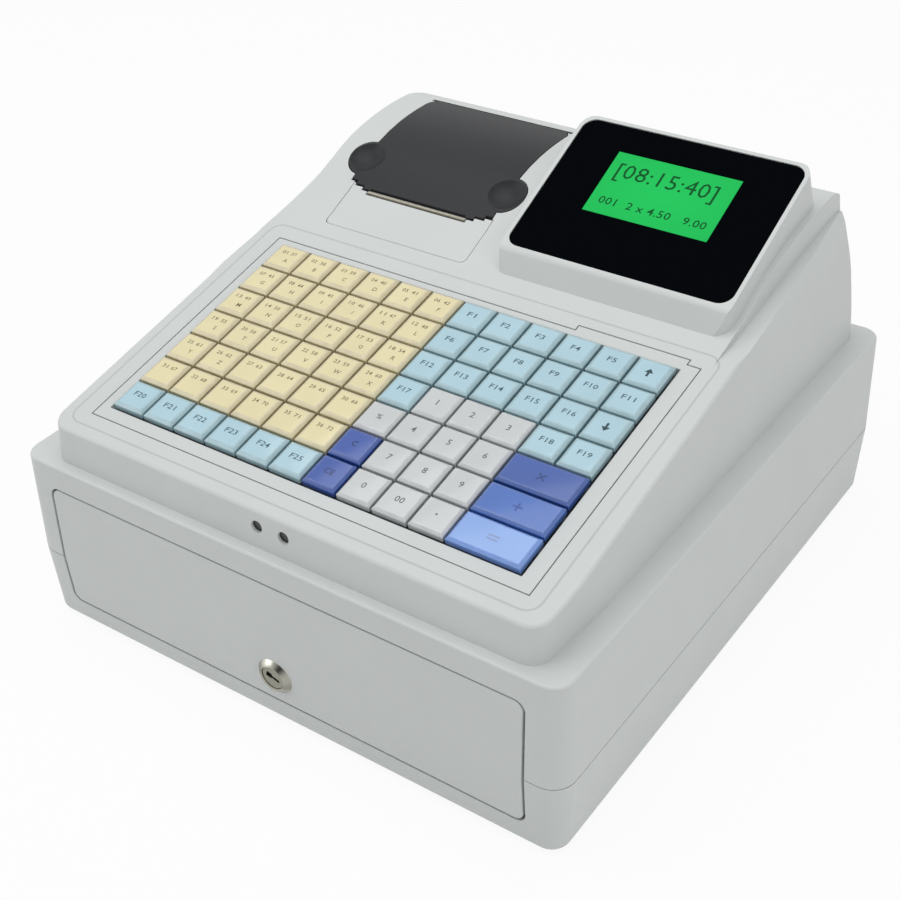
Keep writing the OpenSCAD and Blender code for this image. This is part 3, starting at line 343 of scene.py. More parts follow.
@finish({"Roughness": 0.25, "Specular IOR Level": 0.03, "Emission Strength": 0.78})
def lit_display(tree, at, base):
    """Liquid crystal cell over a green light box: a lit face, a little brighter towards
    its middle, crossed by the pixel grid, 0.6 mm drawn for a real 0.45 mm."""
    laid = add(tree, "ShaderNodeMapping", {"vector_type": "TEXTURE"}, {"Vector": at,
        "Location": GLASS @ (Vector((sum(OPENING_X), sum(OPENING_Y), 0)) * MM / 2),
        "Rotation": GLASS.to_euler(), "Scale": (34 * MM, 20 * MM, 20 * MM)})
    wide = add(tree, "ShaderNodeMapping", None,
        {"Vector": laid.outputs["Vector"], "Scale": (0.55, 0.55, 0.55)})
    ball = add(tree, "ShaderNodeTexGradient", {"gradient_type": "SPHERICAL"},
        {"Vector": wide.outputs["Vector"]})
    shine = toned(tree, base, ball.outputs["Fac"], 0.86, 1.08, {})
    grid = add(tree, "ShaderNodeMapping", {"vector_type": "TEXTURE"}, {"Vector": at,
        "Location": GLASS.to_translation(), "Rotation": GLASS.to_euler()})
    cells = add(tree, "ShaderNodeTexBrick", {"offset": 0.0, "squash": 1.0},
        {"Vector": grid.outputs["Vector"], "Scale": 1 / (0.6 * MM), "Color1": (1, 1, 1, 1),
         "Color2": (1, 1, 1, 1), "Mortar": (0.90, 0.90, 0.90, 1), "Mortar Size": 0.06,
         "Brick Width": 1.0, "Row Height": 1.0})
    face = chain(tree, "ShaderNodeVectorMath", shine, ("MULTIPLY", cells.outputs["Color"]))
    return {"Base Color": shade(base, 0.25), "Emission Color": face}


@finish({"Roughness": 0.3, "Specular IOR Level": 0.03, "Emission Strength": 0.78})
def lcd_ink(tree, at, base):
    """Switched segments of the display: dark green, still lit a little from behind."""
    cell = add(tree, "ShaderNodeTexNoise", None, sized(at, 0.6, Detail=0.0))
    return {"Base Color": shade(base, 0.3),
            "Emission Color": toned(tree, base, cell.outputs["Fac"], 0.8, 1.2)}


@finish({"Metallic": 1.0})
def plated(tree, at, base, rough=0.24, upright=False, hub=None):
    """Nickel over turned brass: bright warm grey metal with the turning lines, 0.25 mm
    drawn for a real 0.1 mm, still faintly under the plating."""
    turn = add(tree, "ShaderNodeMapping", None,
        {"Vector": at, "Scale": (1, 1, 0.02) if upright else (1, 0.02, 1)})
    grain = add(tree, "ShaderNodeTexNoise", None,
        sized(turn.outputs["Vector"], 0.25, Detail=2.0)).outputs["Fac"]
    level = add(tree, "ShaderNodeMapRange", None,
        {"Value": grain, **MIDDLE, "To Min": 0.93, "To Max": 1.05}).outputs["Result"]
    # with a hub, painted highlights and painted shade in sectors round it brighten and darken the
    # colour
    if hub:
        level = chain(tree, "ShaderNodeMath", level, ("MULTIPLY", turned_sheen(tree, at, hub)))
    colour = add(tree, "ShaderNodeVectorMath", {"operation": "SCALE"},
        {0: base[:3], "Scale": level})
    dull = add(tree, "ShaderNodeMapRange", None,
        {"Value": grain, **MIDDLE, "To Min": rough - 0.06, "To Max": rough + 0.1})
    return {"Base Color": colour.outputs[0], "Roughness": dull.outputs["Result"],
            "Relief": [(grain, 0.2, 0.01)]}


def turned_sheen(tree, at, hub):
    """The bright and dark sectors that a turned face shows round its middle."""
    laid = add(tree, "ShaderNodeMapping", {"vector_type": "TEXTURE"},
        {"Vector": at, "Location": hub})
    split = add(tree, "ShaderNodeSeparateXYZ", None, {"Vector": laid.outputs["Vector"]})
    angle = chain(tree, "ShaderNodeMath", split.outputs["Z"], ("ARCTAN2", split.outputs["X"]))
    level = PAINTED_SHEEN_BASE
    for middle, gain in PAINTED_SHEEN_SECTORS:
        level = chain(tree, "ShaderNodeMath", angle, ("SUBTRACT", math.radians(middle)),
            ("COSINE",), ("MAXIMUM", 0), ("POWER", PAINTED_SHEEN_POWER), ("MULTIPLY_ADD", gain, level))
    return level


@finish({"Metallic": 0.95}, "#B4B8BC")
def zinc_sheet(tree, at, base):
    """Cold-rolled steel, zinc plated and passivated: cool satin metal, cloudy with 9 mm
    patches and crossed by rolling lines 0.5 mm apart."""
    patch = add(tree, "ShaderNodeTexVoronoi", {"feature": "SMOOTH_F1"},
        sized(at, 9, Smoothness=0.8))
    roll = add(tree, "ShaderNodeMapping", None, {"Vector": at, "Scale": (1, 0.015, 1)})
    lines = add(tree, "ShaderNodeTexNoise", None,
        sized(roll.outputs["Vector"], 0.5, Detail=2.0)).outputs["Fac"]
    tone = add(tree, "ShaderNodeMixRGB", None, {"Fac": patch.outputs["Distance"],
        "Color1": shade(base, 0.88), "Color2": shade(base, 1.08)})
    dull = add(tree, "ShaderNodeMapRange", None,
        {"Value": lines, **MIDDLE, "To Min": 0.34, "To Max": 0.5})
    return {"Base Color": tone.outputs["Color"], "Roughness": dull.outputs["Result"],
            "Relief": [(lines, 0.15, 0.01)]}


@finish({"Roughness": 0.78, "Specular IOR Level": 0.3}, "#2A2B2D")
def moulded_rubber(tree, at, base):
    """Nitrile rubber, compression moulded: near black, dull, with a dusty bloom that lies
    in 3 mm clouds."""
    bloom = add(tree, "ShaderNodeTexNoise", None, sized(at, 3, Detail=4.0))
    skin = add(tree, "ShaderNodeTexNoise", None, sized(at, 0.5, Detail=1.0))
    colour = add(tree, "ShaderNodeMixRGB", None,
        {"Fac": bloom.outputs["Fac"], "Color1": base, "Color2": shade(base, 1.9)})
    return {"Base Color": colour.outputs["Color"], "Relief": [(skin.outputs["Fac"], 0.3, 0.03)]}


@finish({"Roughness": 0.6, "Specular IOR Level": 0.3})
def thermal_paper(tree, at, base):
    """Coated thermal paper: smooth off-white with a faint fibre and, on the roll's ends,
    the wound layers, drawn 0.6 mm apart for a real 0.06 mm."""
    hub = add(tree, "ShaderNodeMapping", {"vector_type": "TEXTURE"},
        {"Vector": at, "Location": PAPER_HUB})
    split = add(tree, "ShaderNodeSeparateXYZ", None, {"Vector": hub.outputs["Vector"]})
    flat = add(tree, "ShaderNodeCombineXYZ", None,
        {"X": split.outputs["Y"], "Y": split.outputs["Z"]})
    far = add(tree, "ShaderNodeVectorMath", {"operation": "LENGTH"}, {0: flat.outputs[0]})
    wave = chain(tree, "ShaderNodeMath", far.outputs["Value"],
                 ("MULTIPLY", 2 * math.pi / (0.6 * MM)), ("SINE",))
    fibre = add(tree, "ShaderNodeTexNoise", None, sized(at, 1.2, Detail=5.0))
    return {"Base Color": toned(tree, base, wave, 0.94, 1.0, {"From Min": -1.0}),
            "Relief": [(fibre.outputs["Fac"], 0.1, 0.02)]}


@finish({"Roughness": 0.35, "Specular IOR Level": 0.5}, "#2C6A44")
def circuit_board(tree, at, base):
    """Glass-epoxy board under green solder mask: darker and lighter green where the mask
    crosses copper tracks, about 1.3 mm apart."""
    track = add(tree, "ShaderNodeTexBrick", {"offset": 0.37, "offset_frequency": 3},
        {"Vector": at, "Scale": 1 / (10 * MM), "Color1": base, "Color2": shade(base, 1.25),
         "Mortar": shade(base, 0.7), "Mortar Size": 0.04, "Brick Width": 0.9,
         "Row Height": 0.13})
    pads = add(tree, "ShaderNodeTexVoronoi", None, sized(at, 5.08))
    pad = chain(tree, "ShaderNodeMath", pads.outputs["Distance"], ("LESS_THAN", 0.16))
    colour = add(tree, "ShaderNodeMixRGB", None,
        {"Fac": pad, "Color1": track.outputs["Color"], "Color2": linear("#C8CCC8")})
    return {"Base Color": colour.outputs["Color"], "Relief": [(track.outputs["Fac"], 0.3, 0.05)]}


@finish({"Metallic": 0.4, "Roughness": 0.45}, "#6C6F73")
def laminated_core(tree, at, base):
    """Varnished transformer laminations: stacked 0.5 mm sheets, drawn 1 mm apart, with
    drips of amber varnish in 7 mm clouds."""
    stack = add(tree, "ShaderNodeTexWave", {"bands_direction": "Y"}, sized(at, 20, Distortion=0.2))
    drip = add(tree, "ShaderNodeTexNoise", None, sized(at, 7, Detail=3.0))
    layer = add(tree, "ShaderNodeMixRGB", None, {"Fac": stack.outputs["Fac"],
        "Color1": shade(base, 0.7), "Color2": shade(base, 1.1)})
    colour = add(tree, "ShaderNodeMixRGB", {"blend_type": "MULTIPLY"},
        {"Fac": drip.outputs["Fac"], "Color1": layer.outputs["Color"],
         "Color2": linear("#C9A26A")})
    return {"Base Color": colour.outputs["Color"], "Relief": [(stack.outputs["Fac"], 0.4, 0.1)]}


@finish({"Metallic": 0.3, "Roughness": 0.4}, "#8C7A4A")
def taped_coil(tree, at, base):
    """Solenoid in its zinc yoke, the winding wrapped in yellow polyester tape with an
    edge every 8 mm."""
    lap = add(tree, "ShaderNodeTexWave", {"bands_direction": "X", "wave_profile": "SAW"},
        sized(at, 160, Distortion=0.1)).outputs["Fac"]
    colour = add(tree, "ShaderNodeMixRGB", None,
        {"Fac": lap, "Color1": shade(base, 0.85), "Color2": shade(base, 1.15)})
    return {"Base Color": colour.outputs["Color"], "Relief": [(lap, 0.3, 0.06)]}


@finish({"Roughness": 0.5, "Specular IOR Level": 0.4}, "#7E8183")
def coated_plate(tree, at, base):
    """Steel plate, powder coated grey: the orange peel of the coating, 1.5 mm across."""
    peel = add(tree, "ShaderNodeTexVoronoi", {"feature": "SMOOTH_F1"},
        sized(at, 1.5, Smoothness=1.0)).outputs["Distance"]
    colour = add(tree, "ShaderNodeMixRGB", None,
        {"Fac": peel, "Color1": shade(base, 0.9), "Color2": shade(base, 1.1)})
    return {"Base Color": colour.outputs["Color"], "Relief": [(peel, 0.25, 0.04)]}


@finish({"Roughness": 0.2, "Specular IOR Level": 0.5, "Coat Weight": 0.3}, "#D8DCE0")
def switch_film(tree, at, base):
    """Polyester switch film: pale glossy sheet with its printed silver contacts, one
    at every key pitch."""
    laid = add(tree, "ShaderNodeMapping", {"vector_type": "TEXTURE"}, {"Vector": at,
        "Location": DECK @ Vector((PITCH * MM / 2, 0, 0)), "Rotation": DECK.to_euler(),
        "Scale": (PITCH * MM,) * 3})
    flat = chain(tree, "ShaderNodeVectorMath", laid.outputs["Vector"], ("FRACTION",),
                 ("SUBTRACT", (0.5, 0.5, 0.5)), ("MULTIPLY", (1, 1, 0)))
    far = add(tree, "ShaderNodeVectorMath", {"operation": "LENGTH"}, {0: flat})
    dot = chain(tree, "ShaderNodeMath", far.outputs["Value"], ("LESS_THAN", 0.2))
    colour = add(tree, "ShaderNodeMixRGB", None,
        {"Fac": dot, "Color1": base, "Color2": linear("#8E9296")})
    return {"Base Color": colour.outputs["Color"]}


@finish({"IOR": 1.58, "Specular IOR Level": 0.45}, "#1B1C1E")
def gloss_moulding(tree, at, base):
    """Polycarbonate in black, polished mould: glossy, with flow marks 12 mm long."""
    flow = add(tree, "ShaderNodeTexNoise", None,
        sized(at, 12, Detail=3.0, Distortion=0.5)).outputs["Fac"]
    rough = add(tree, "ShaderNodeMapRange", None,
        {"Value": flow, **MIDDLE, "To Min": 0.2, "To Max": 0.32})
    colour = add(tree, "ShaderNodeMixRGB", None,
        {"Fac": flow, "Color1": shade(base, 0.9), "Color2": shade(base, 1.15)})
    return {"Base Color": colour.outputs["Color"], "Roughness": rough.outputs["Result"]}


# ---- mesh helpers

def only(*objects):
    """Selects just these objects and makes the first active."""
    bpy.ops.object.select_all(action="DESELECT")
    for obj in objects:
        obj.select_set(True)
    bpy.context.view_layer.objects.active = objects[0]


def new_object(name, operator, **options):
    """Adds an object with an operator, nothing else selected, and names it."""
    bpy.ops.object.select_all(action="DESELECT")
    operator(**options)
    obj = bpy.context.active_object
    obj.name = obj.data.name = name
    return obj


def place(obj):
    """Moves an object's place, turn and scale into its mesh."""
    only(obj)
    bpy.ops.object.transform_apply(location=True, rotation=True, scale=True)


def merged_copy(node, name):
    """Copy of a construction solid with its loose triangles merged to clean faces."""
    mesh = frame["nodes"][node].data.copy()
    obj = bpy.data.objects.new(name, mesh)
    bpy.context.scene.collection.objects.link(obj)
    obj.data.name = name
    only(obj)
    bpy.ops.mesh.customdata_custom_splitnormals_clear()
    bpy.ops.object.mode_set(mode="EDIT")
    bpy.ops.mesh.select_all(action="SELECT")
    bpy.ops.mesh.remove_doubles(threshold=2e-6)
    bpy.ops.mesh.dissolve_limited(angle_limit=math.radians(0.6))
    bpy.ops.object.mode_set(mode="OBJECT")
    obj.data.materials.clear()
    return obj


def choose(obj, want_face=None, want_edge=None):
    """In edit mode, selects the faces or edges that a test accepts."""
    bpy.ops.object.mode_set(mode="EDIT")
    bpy.ops.mesh.select_mode(type="FACE" if want_face else "EDGE")
    bpy.ops.mesh.select_all(action="DESELECT")
    mesh = bmesh.from_edit_mesh(obj.data)
    count = 0
    for item in (mesh.faces if want_face else mesh.edges):
        if (want_face or want_edge)(item):
            item.select_set(True)
            count += 1
    mesh.select_flush_mode()
    bmesh.update_edit_mesh(obj.data)
    return count


def soften(obj, width, angle=28.0):
    """Rounds the edges sharper than an angle and evens the shading towards the large faces."""
    only(obj)
    bev = obj.modifiers.new("edges", "BEVEL")
    bev.width = width
    bev.segments = 2
    bev.limit_method = "ANGLE"
    bev.angle_limit = math.radians(angle)
    bev.miter_outer = "MITER_ARC"
    bpy.ops.object.modifier_apply(modifier=bev.name)
    bpy.ops.object.shade_smooth_by_angle(angle=math.radians(38.0), keep_sharp_edges=True)
    weigh = obj.modifiers.new("weights", "WEIGHTED_NORMAL")
    weigh.keep_sharp = True
    weigh.weight = 60
    bpy.ops.object.modifier_apply(modifier=weigh.name)


def settle(obj, node, *materials, nodes=()):
    """Gives a finished piece its materials, its node's body and slot, and the nodes that it
    stands for."""
    body, slot = BODY_OF[node], SLOT_OF[node]
    for mat in materials:
        obj.data.materials.append(mat)
    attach(obj, body)
    if nodes:
        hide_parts(*nodes)
    return obj


def dress(node, name, width, *materials):
    """Rounded copy of a construction solid that stands for it."""
    obj = merged_copy(node, name)
    soften(obj, width)
    return settle(obj, node, *materials, nodes=[node])


def coat(node, material):
    """Gives a construction solid that stays as it is its finish."""
    obj = frame["nodes"][node]
    if not obj.material_slots:
        obj.data.materials.append(material)
    for s in obj.material_slots:
        s.material = material


def slab(name, x, y, z, plane):
    """A plate between two corners on a plane, in mm."""
    obj = new_object(name, bpy.ops.mesh.primitive_cube_add, size=1)
    obj.scale = [(hi - lo) * MM for lo, hi in (x, y, z)]
    obj.location = [(lo + hi) / 2 * MM for lo, hi in (x, y, z)]
    place(obj)
    obj.matrix_world = plane
    place(obj)
    return obj


CAPITALS = 0.72         # how high the font's capitals are, as a part of its size


def words(name, items, node, ink, plane, height, thick, weight=0.012):
    """Printed marks, joined to one piece: (text, x, y, high, wide) in mm on a plane, each
    scaled to its box; wide 0 keeps the letters' own proportions."""
    made = []
    for text, x, y, high, wide in items:
        bpy.ops.object.select_all(action="DESELECT")
        bpy.ops.object.text_add()
        obj = bpy.context.active_object
        obj.data.body = text
        obj.data.size = high * MM / CAPITALS
        obj.data.extrude = thick / 2
        obj.data.offset = weight * high * MM
        obj.data.resolution_u = 2
        obj.data.space_character = 1.05
        bpy.ops.object.convert(target="MESH")
        obj = bpy.context.active_object
        across = [v.co.x for v in obj.data.vertices]
        along = [v.co.y for v in obj.data.vertices]
        tall = high * MM / (max(along) - min(along))
        broad = wide * MM / (max(across) - min(across)) if wide else tall
        obj.matrix_world = plane @ Matrix.Translation((x * MM, y * MM, height)) \
            @ Matrix.Diagonal((broad, tall, 1, 1)) \
            @ Matrix.Translation((-(max(across) + min(across)) / 2,
                                  -(max(along) + min(along)) / 2, 0))
        made.append(obj)
    only(*made)
    bpy.ops.object.transform_apply(location=True, rotation=True, scale=True)
    if len(made) > 1:
        bpy.ops.object.join()
    obj = bpy.context.active_object
    obj.name = obj.data.name = name
    bpy.ops.object.mode_set(mode="EDIT")
    bpy.ops.mesh.select_all(action="SELECT")
    bpy.ops.mesh.remove_doubles(threshold=1e-6)
    bpy.ops.mesh.normals_make_consistent(inside=False)
    bpy.ops.object.mode_set(mode="OBJECT")
    obj.data.materials.clear()
    return settle(obj, node, ink)


# ---- drawer unit

class REGISTER_OT_drawer_unit(bpy.types.Operator):
    """Shells of the drawer unit, its flush front and its rubber feet"""
    bl_idname = "register.drawer_unit"
    bl_label = "Drawer unit"

    def execute(self, context):
        look, size = settings(context)
        shell = moulded_abs("light_grey_abs_spark_texture", to_hex(look.shell))
        pan = moulded_abs("light_grey_abs_pan", to_hex(look.pan))
        dress("drawer_housing", "drawer_housing_shell", size.shell_edge, shell)
        dress("drawer_pan", "drawer_pan_shell", size.shell_edge, pan)
        dress("drawer_front", "drawer_front_panel", size.shell_edge, shell)
        coat("rubber_feet", moulded_rubber("moulded_nitrile_rubber"))
        coat("case_screws", zinc_sheet("zinc_plated_screws"))
        return {"FINISHED"}


class REGISTER_OT_drawer_inside(bpy.types.Operator):
    """Steel drawer box, runners, till tray and note clips"""
    bl_idname = "register.drawer_inside"
    bl_label = "Drawer inside"

    def execute(self, context):
        look, size = settings(context)
        zinc = zinc_sheet("zinc_plated_sheet_steel")
        tray = moulded_abs("dark_grey_abs_tray", to_hex(look.tray), grain=0.8, rough=0.5)
        dress("drawer_box", "steel_drawer_box", size.sheet_edge, zinc)
        coat("till_tray", tray)
        wire = plated("nickel_plated_clip_steel", "#C4C4C0", rough=0.28, upright=True)
        for side in "lmr":
            dress("bill_clip_" + side, "note_clip_" + side, size.sheet_edge, wire)
        coat("drawer_rails", zinc)
        coat("eject_spring", zinc)
        coat("latch_solenoid", taped_coil("taped_solenoid_winding"))
        coat("latch_plunger", plated("turned_plunger_steel", "#BFC0C0", upright=True))
        coat("latch_hook", zinc)
        return {"FINISHED"}


class REGISTER_OT_drawer_lock(bpy.types.Operator):
    """Cam lock of the drawer"""
    bl_idname = "register.drawer_lock"
    bl_label = "Drawer lock"

    def execute(self, context):
        look = context.scene.register_colours
        # the ring's colour carries painted reflection: bright and dark sectors round LOCK_HUB
        nickel = plated("nickel_plated_lock", to_hex(look.nickel), rough=0.2, hub=LOCK_HUB)
        dress("lock_barrel", "lock_bezel", 0.35 * MM, nickel)
        face = plated("nickel_plated_plug", "#8F8F82", rough=0.3)
        dress("lock_plug", "lock_key_plug", 0.25 * MM, face)
        dress("lock_cam", "lock_cam_plate", 0.2 * MM, zinc_sheet("zinc_plated_sheet_steel"))
        return {"FINISHED"}


# ---- keyboard unit

class REGISTER_OT_upper_case(bpy.types.Operator):
    """Upper case with its keyboard bezel, access panel and indicator windows"""
    bl_idname = "register.upper_case"
    bl_label = "Upper case"

    def execute(self, context):
        look, size = settings(context)
        shell = moulded_abs("light_grey_abs_spark_texture", to_hex(look.shell))
        rimmed = moulded_abs("light_grey_abs_with_deck_rim", to_hex(look.shell), rim=True)
        case = merged_copy("top_case", "upper_case_shell")

        def where(test):
            """Tests an edge by the normals beside it, the flatter one first, and its middle."""
            def on_edge(edge):
                if len(edge.link_faces) != 2:
                    return False
                top, wall = sorted((f.normal for f in edge.link_faces), key=lambda n: -n.z)
                return test(top, wall, (edge.verts[0].co + edge.verts[1].co) / 2)
            return on_edge

        def deck_side(top, wall, mid):
            """Where the deck's flat top meets an outer wall at the sides or the front."""
            outer = abs(mid.x) > DECK_SIDE_X or mid.y < DECK_FRONT_Y
            upright = abs(wall.z) < 0.45 and (abs(wall.x) > 0.3 or wall.y < -0.3)
            return outer and mid.y < HUMP_Y and top.dot(DECK_UP) > 0.998 and upright

        def pod_rim(top, wall, mid):
            """Where the display's flat rim turns down round its outside."""
            at = GLASS.inverted() @ mid / MM
            outer = abs(at.x - POD_MIDDLE) > POD_HALF or not POD_Y[0] <= at.y <= POD_Y[1]
            turns = top.dot(GLASS_UP) > 0.97 and wall.dot(GLASS_UP) < 0.9
            return outer and abs(at.z) < 1.6 and turns

        for test, width, segments, clamp in ((deck_side, size.deck_edge, 6, False),
                                             (pod_rim, size.pod_edge, 3, True)):
            if not choose(case, want_edge=where(test)):
                raise RuntimeError("top_case: no edges found by " + test.__name__)
            bpy.ops.mesh.bevel(offset=width, segments=segments, affect="EDGES",
                clamp_overlap=clamp)
            bpy.ops.object.mode_set(mode="OBJECT")
        soften(case, size.shell_edge * 0.8)
        settle(case, "top_case", rimmed, nodes=["top_case"])
        dress("key_bezel", "keyboard_bezel", 0.25 * MM, shell)
        dress("access_panel", "access_panel_plate", 0.2 * MM, shell)
        coat("front_lenses", gloss_moulding("black_polycarbonate_lens"))
        coat("register_base", zinc_sheet("zinc_plated_sheet_steel"))
        return {"FINISHED"}


# each colour family's rim and ink; its card is a colour of the panel
RIMS = {"yellow": "#CFC5A3", "blue": "#9FBBC3", "white": "#C1C4C5", "deep": "#33529C",
        "back": "#38589E", "mid": "#4468AE", "front": "#7396D6"}
INKS = {"yellow": "#6E6748", "blue": "#3C5560", "white": "#5A5F66", "deep": "#16224E",
        "back": "#2E4680", "mid": "#37539A", "front": "#8294C0"}


def key_kind(node):
    """Colour family of a key node."""
    if "yellow" in node:
        return "yellow"
    if "fn" in node or "blue" in node:
        return "blue"
    if "wide" in node:
        return node.rsplit("_", 1)[1]
    return "deep" if node in ("key_c7_r6", "key_c7_r7") else "white"


KEY_NODES = sorted(n for n in frame["nodes"] if n.startswith(("key_", "keys_"))
                   and n not in ("key_bezel", "key_plate", "key_membrane"))


class REGISTER_OT_key_caps(bpy.types.Operator):
    """Key caps: clear caps over printed cards"""
    bl_idname = "register.key_caps"
    bl_label = "Key caps"

    def execute(self, context):
        look, size = settings(context)
        for node in KEY_NODES:
            kind = key_kind(node)
            rim = cap_acrylic("clear_acrylic_cap_" + kind, RIMS[kind])
            card = legend_card("printed_card_" + kind, to_hex(getattr(look, kind + "_card")))
            cap = merged_copy(node, node + "_caps")
            cap.data.materials.append(rim)
            cap.data.materials.append(card)
            soften(cap, size.key_edge, 20)

            def is_top(face):
                return face.normal.dot(DECK_UP) > 0.9995 and face.calc_area() > 1e-4

            if not choose(cap, want_face=is_top):
                raise RuntimeError(node + ": no key tops found")
            bpy.ops.mesh.inset(thickness=size.card_margin, depth=-CARD_SINK * MM,
                use_individual=True)
            cap.active_material_index = 1
            bpy.ops.object.material_slot_assign()
            bpy.ops.object.mode_set(mode="OBJECT")
            settle(cap, node, nodes=[node])
        coat("key_plate", coated_plate("grey_powder_coated_plate"))
        coat("key_membrane", switch_film("polyester_switch_film"))
        coat("keyboard_pcb", circuit_board("green_masked_board"))
        return {"FINISHED"}


def cell(col, row):
    """Centre of a key on the deck, in mm."""
    return (col - (COLS + 1) / 2) * PITCH, ((ROWS + 1) / 2 - row) * PITCH


def key_marks():
    """What is printed on each key, in mm: node -> list of (text, x, y, high, wide)."""
    marks = {n: [] for n in KEY_NODES}

    def mark(node, text, col, row, high, wide=0, right=0, up=0):
        """Adds a text beside the middle of a key."""
        x, y = cell(col, row)
        marks[node].append((text, x + right, y + up, high, wide))

    letters = "ABCDEFGHIJKLMNOPQRSTUVWXYZ"
    second = 36     # each yellow key's right number is this much higher than its left one
    for row in range(1, 7):
        node = "keys_yellow_" + ("back", "mid", "front")[(row - 1) // 2]
        for col in range(1, 7):
            number = (row - 1) * 6 + col
            mark(node, "%02d" % number, col, row, 2.3, 3.3, -2.6, 3.3)
            mark(node, "%02d" % (number + second), col, row, 2.3, 3.3, 2.9, 3.3)
            if number <= len(letters):
                mark(node, letters[number - 1], col, row, 2.5, 0, 1.8, -2.6)
    blue = ((1, range(7, 12), "keys_fn_back"), (2, range(7, 13), "keys_fn_back"),
            (3, range(7, 12), "keys_fn_front"), (4, (7, 11, 12), "keys_fn_front"),
            (7, range(1, 7), "keys_blue_row7"))
    places = [(row, col, node) for row, cols, node in blue for col in cols]
    for number, (row, col, node) in enumerate(places, 1):
        mark(node, "F%d" % number, col, row, 3.0, 4.6 if number < 10 else 6.8, up=1.0)
    digits = {str(n): (8 + (n - 1) % 3, 4 + (n - 1) // 3) for n in range(1, 10)}
    for digit, (col, row) in {**digits, "0": (8, 7), "00": (9, 7)}.items():
        mark("key_" + digit, digit, col, row, 3.4, up=0.4)
    mark("key_dot", "•", 10, 7, 1.2, up=0.4)
    for row, text in ((5, "%"), (6, "C"), (7, "CE")):
        mark("key_c7_r%d" % row, text, 7, row, 3.2, up=0.4)
    mark("key_wide_back", "×", 11.5, 5, 4.4, 4.4)
    mark("key_wide_mid", "+", 11.5, 6, 4.8, 4.8)
    mark("key_wide_front", "=", 11.5, 7, 2.8, 5.6)
    return marks


def arrow(name, col, row, up, ink, thick):
    """Printed arrow, extruded from a plate: a shaft with a wide head."""
    shaft, shaft_middle = (1.1 * MM, 2.6 * MM), -1.2 * MM
    head_times, head_high = 3.7, 2.5 * MM
    x, y = cell(col, row)
    obj = new_object(name, bpy.ops.mesh.primitive_plane_add, size=1)
    obj.scale = (*shaft, 1)
    obj.location = (0, shaft_middle, 0)
    place(obj)
    choose(obj, want_edge=lambda e: all(v.co.y > 0 for v in e.verts))
    bpy.ops.mesh.extrude_region_move()
    bpy.ops.transform.resize(value=(head_times, 1, 1), center_override=(0, 0, 0))
    bpy.ops.mesh.extrude_region_move(TRANSFORM_OT_translate={"value": (0, head_high, 0)})
    bpy.ops.mesh.merge(type="CENTER")
    bpy.ops.mesh.select_all(action="SELECT")
    bpy.ops.mesh.remove_doubles(threshold=1e-7)
    bpy.ops.object.mode_set(mode="OBJECT")
    wall = obj.modifiers.new("ink", "SOLIDIFY")
    wall.thickness = thick
    bpy.ops.object.modifier_apply(modifier=wall.name)
    obj.matrix_world = DECK @ Matrix.Translation((x * MM, y * MM, CAP_TOP * MM)) \
        @ Matrix.Rotation(0 if up else math.pi, 4, "Z")
    place(obj)
    return settle(obj, "keys_fn_back" if up else "keys_fn_front", ink)


class REGISTER_OT_key_legends(bpy.types.Operator):
    """Numbers, letters and arrows printed on the key cards"""
    bl_idname = "register.key_legends"
    bl_label = "Key legends"

    def execute(self, context):
        thick = context.scene.register_sizes.print_height
        for node, items in key_marks().items():
            ink = legend_ink("screen_ink_" + key_kind(node), INKS[key_kind(node)])
            words(node + "_legend", items, node, ink, DECK, (CAP_TOP - PRINT_SINK) * MM, thick)
        ink = legend_ink("screen_ink_arrows", "#1F3A44")
        arrow("arrow_up_mark", 12, 1, True, ink, thick)
        arrow("arrow_down_mark", 12, 3, False, ink, thick)
        return {"FINISHED"}


# ---- display

class REGISTER_OT_display(bpy.types.Operator):
    """Display window, lit screen and its digits"""
    bl_idname = "register.display"
    bl_label = "Display"

    def execute(self, context):
        look, size = settings(context)
        window = merged_copy("display_glass", "display_window")
        hole = slab("window_cutter", OPENING_X, OPENING_Y, (-6, 6), GLASS)
        only(window)
        cut = window.modifiers.new("opening", "BOOLEAN")
        cut.operation = "DIFFERENCE"
        cut.solver = "EXACT"
        cut.object = hole
        bpy.ops.object.modifier_apply(modifier=cut.name)
        bpy.data.objects.remove(hole)
        soften(window, 0.3 * MM, 40)
        black = printed_window("back_printed_black_window", to_hex(look.glass))
        settle(window, "display_glass", black, nodes=["display_glass"])

        inside = [(lo + SCREEN_GAP, hi - SCREEN_GAP) for lo, hi in (OPENING_X, OPENING_Y)]
        screen = slab("lit_screen", *inside, (-2.3, SCREEN_TOP), GLASS)
        soften(screen, 0.08 * MM, 40)
        settle(screen, "lcd_module", lit_display("green_backlit_cell", to_hex(look.backlight)))
        ink = lcd_ink("switched_display_segments", "#0B5427")
        upper = ("[08:15:40]", 60.3, 58.3, size.big_digit / MM, 54.0)
        lower = ("001  2 x 4.50   9.00", 62.4, 39.9, size.small_digit / MM, 57.6)
        for name, line, weight in (("upper", upper, 0.0), ("lower", lower, 0.012)):
            words("display_digits_" + name, [line], "lcd_module", ink, GLASS,
                (SCREEN_TOP + 0.01) * MM, 0.02 * MM, weight)
        coat("lcd_module", circuit_board("green_masked_board"))
        return {"FINISHED"}


# ---- printer

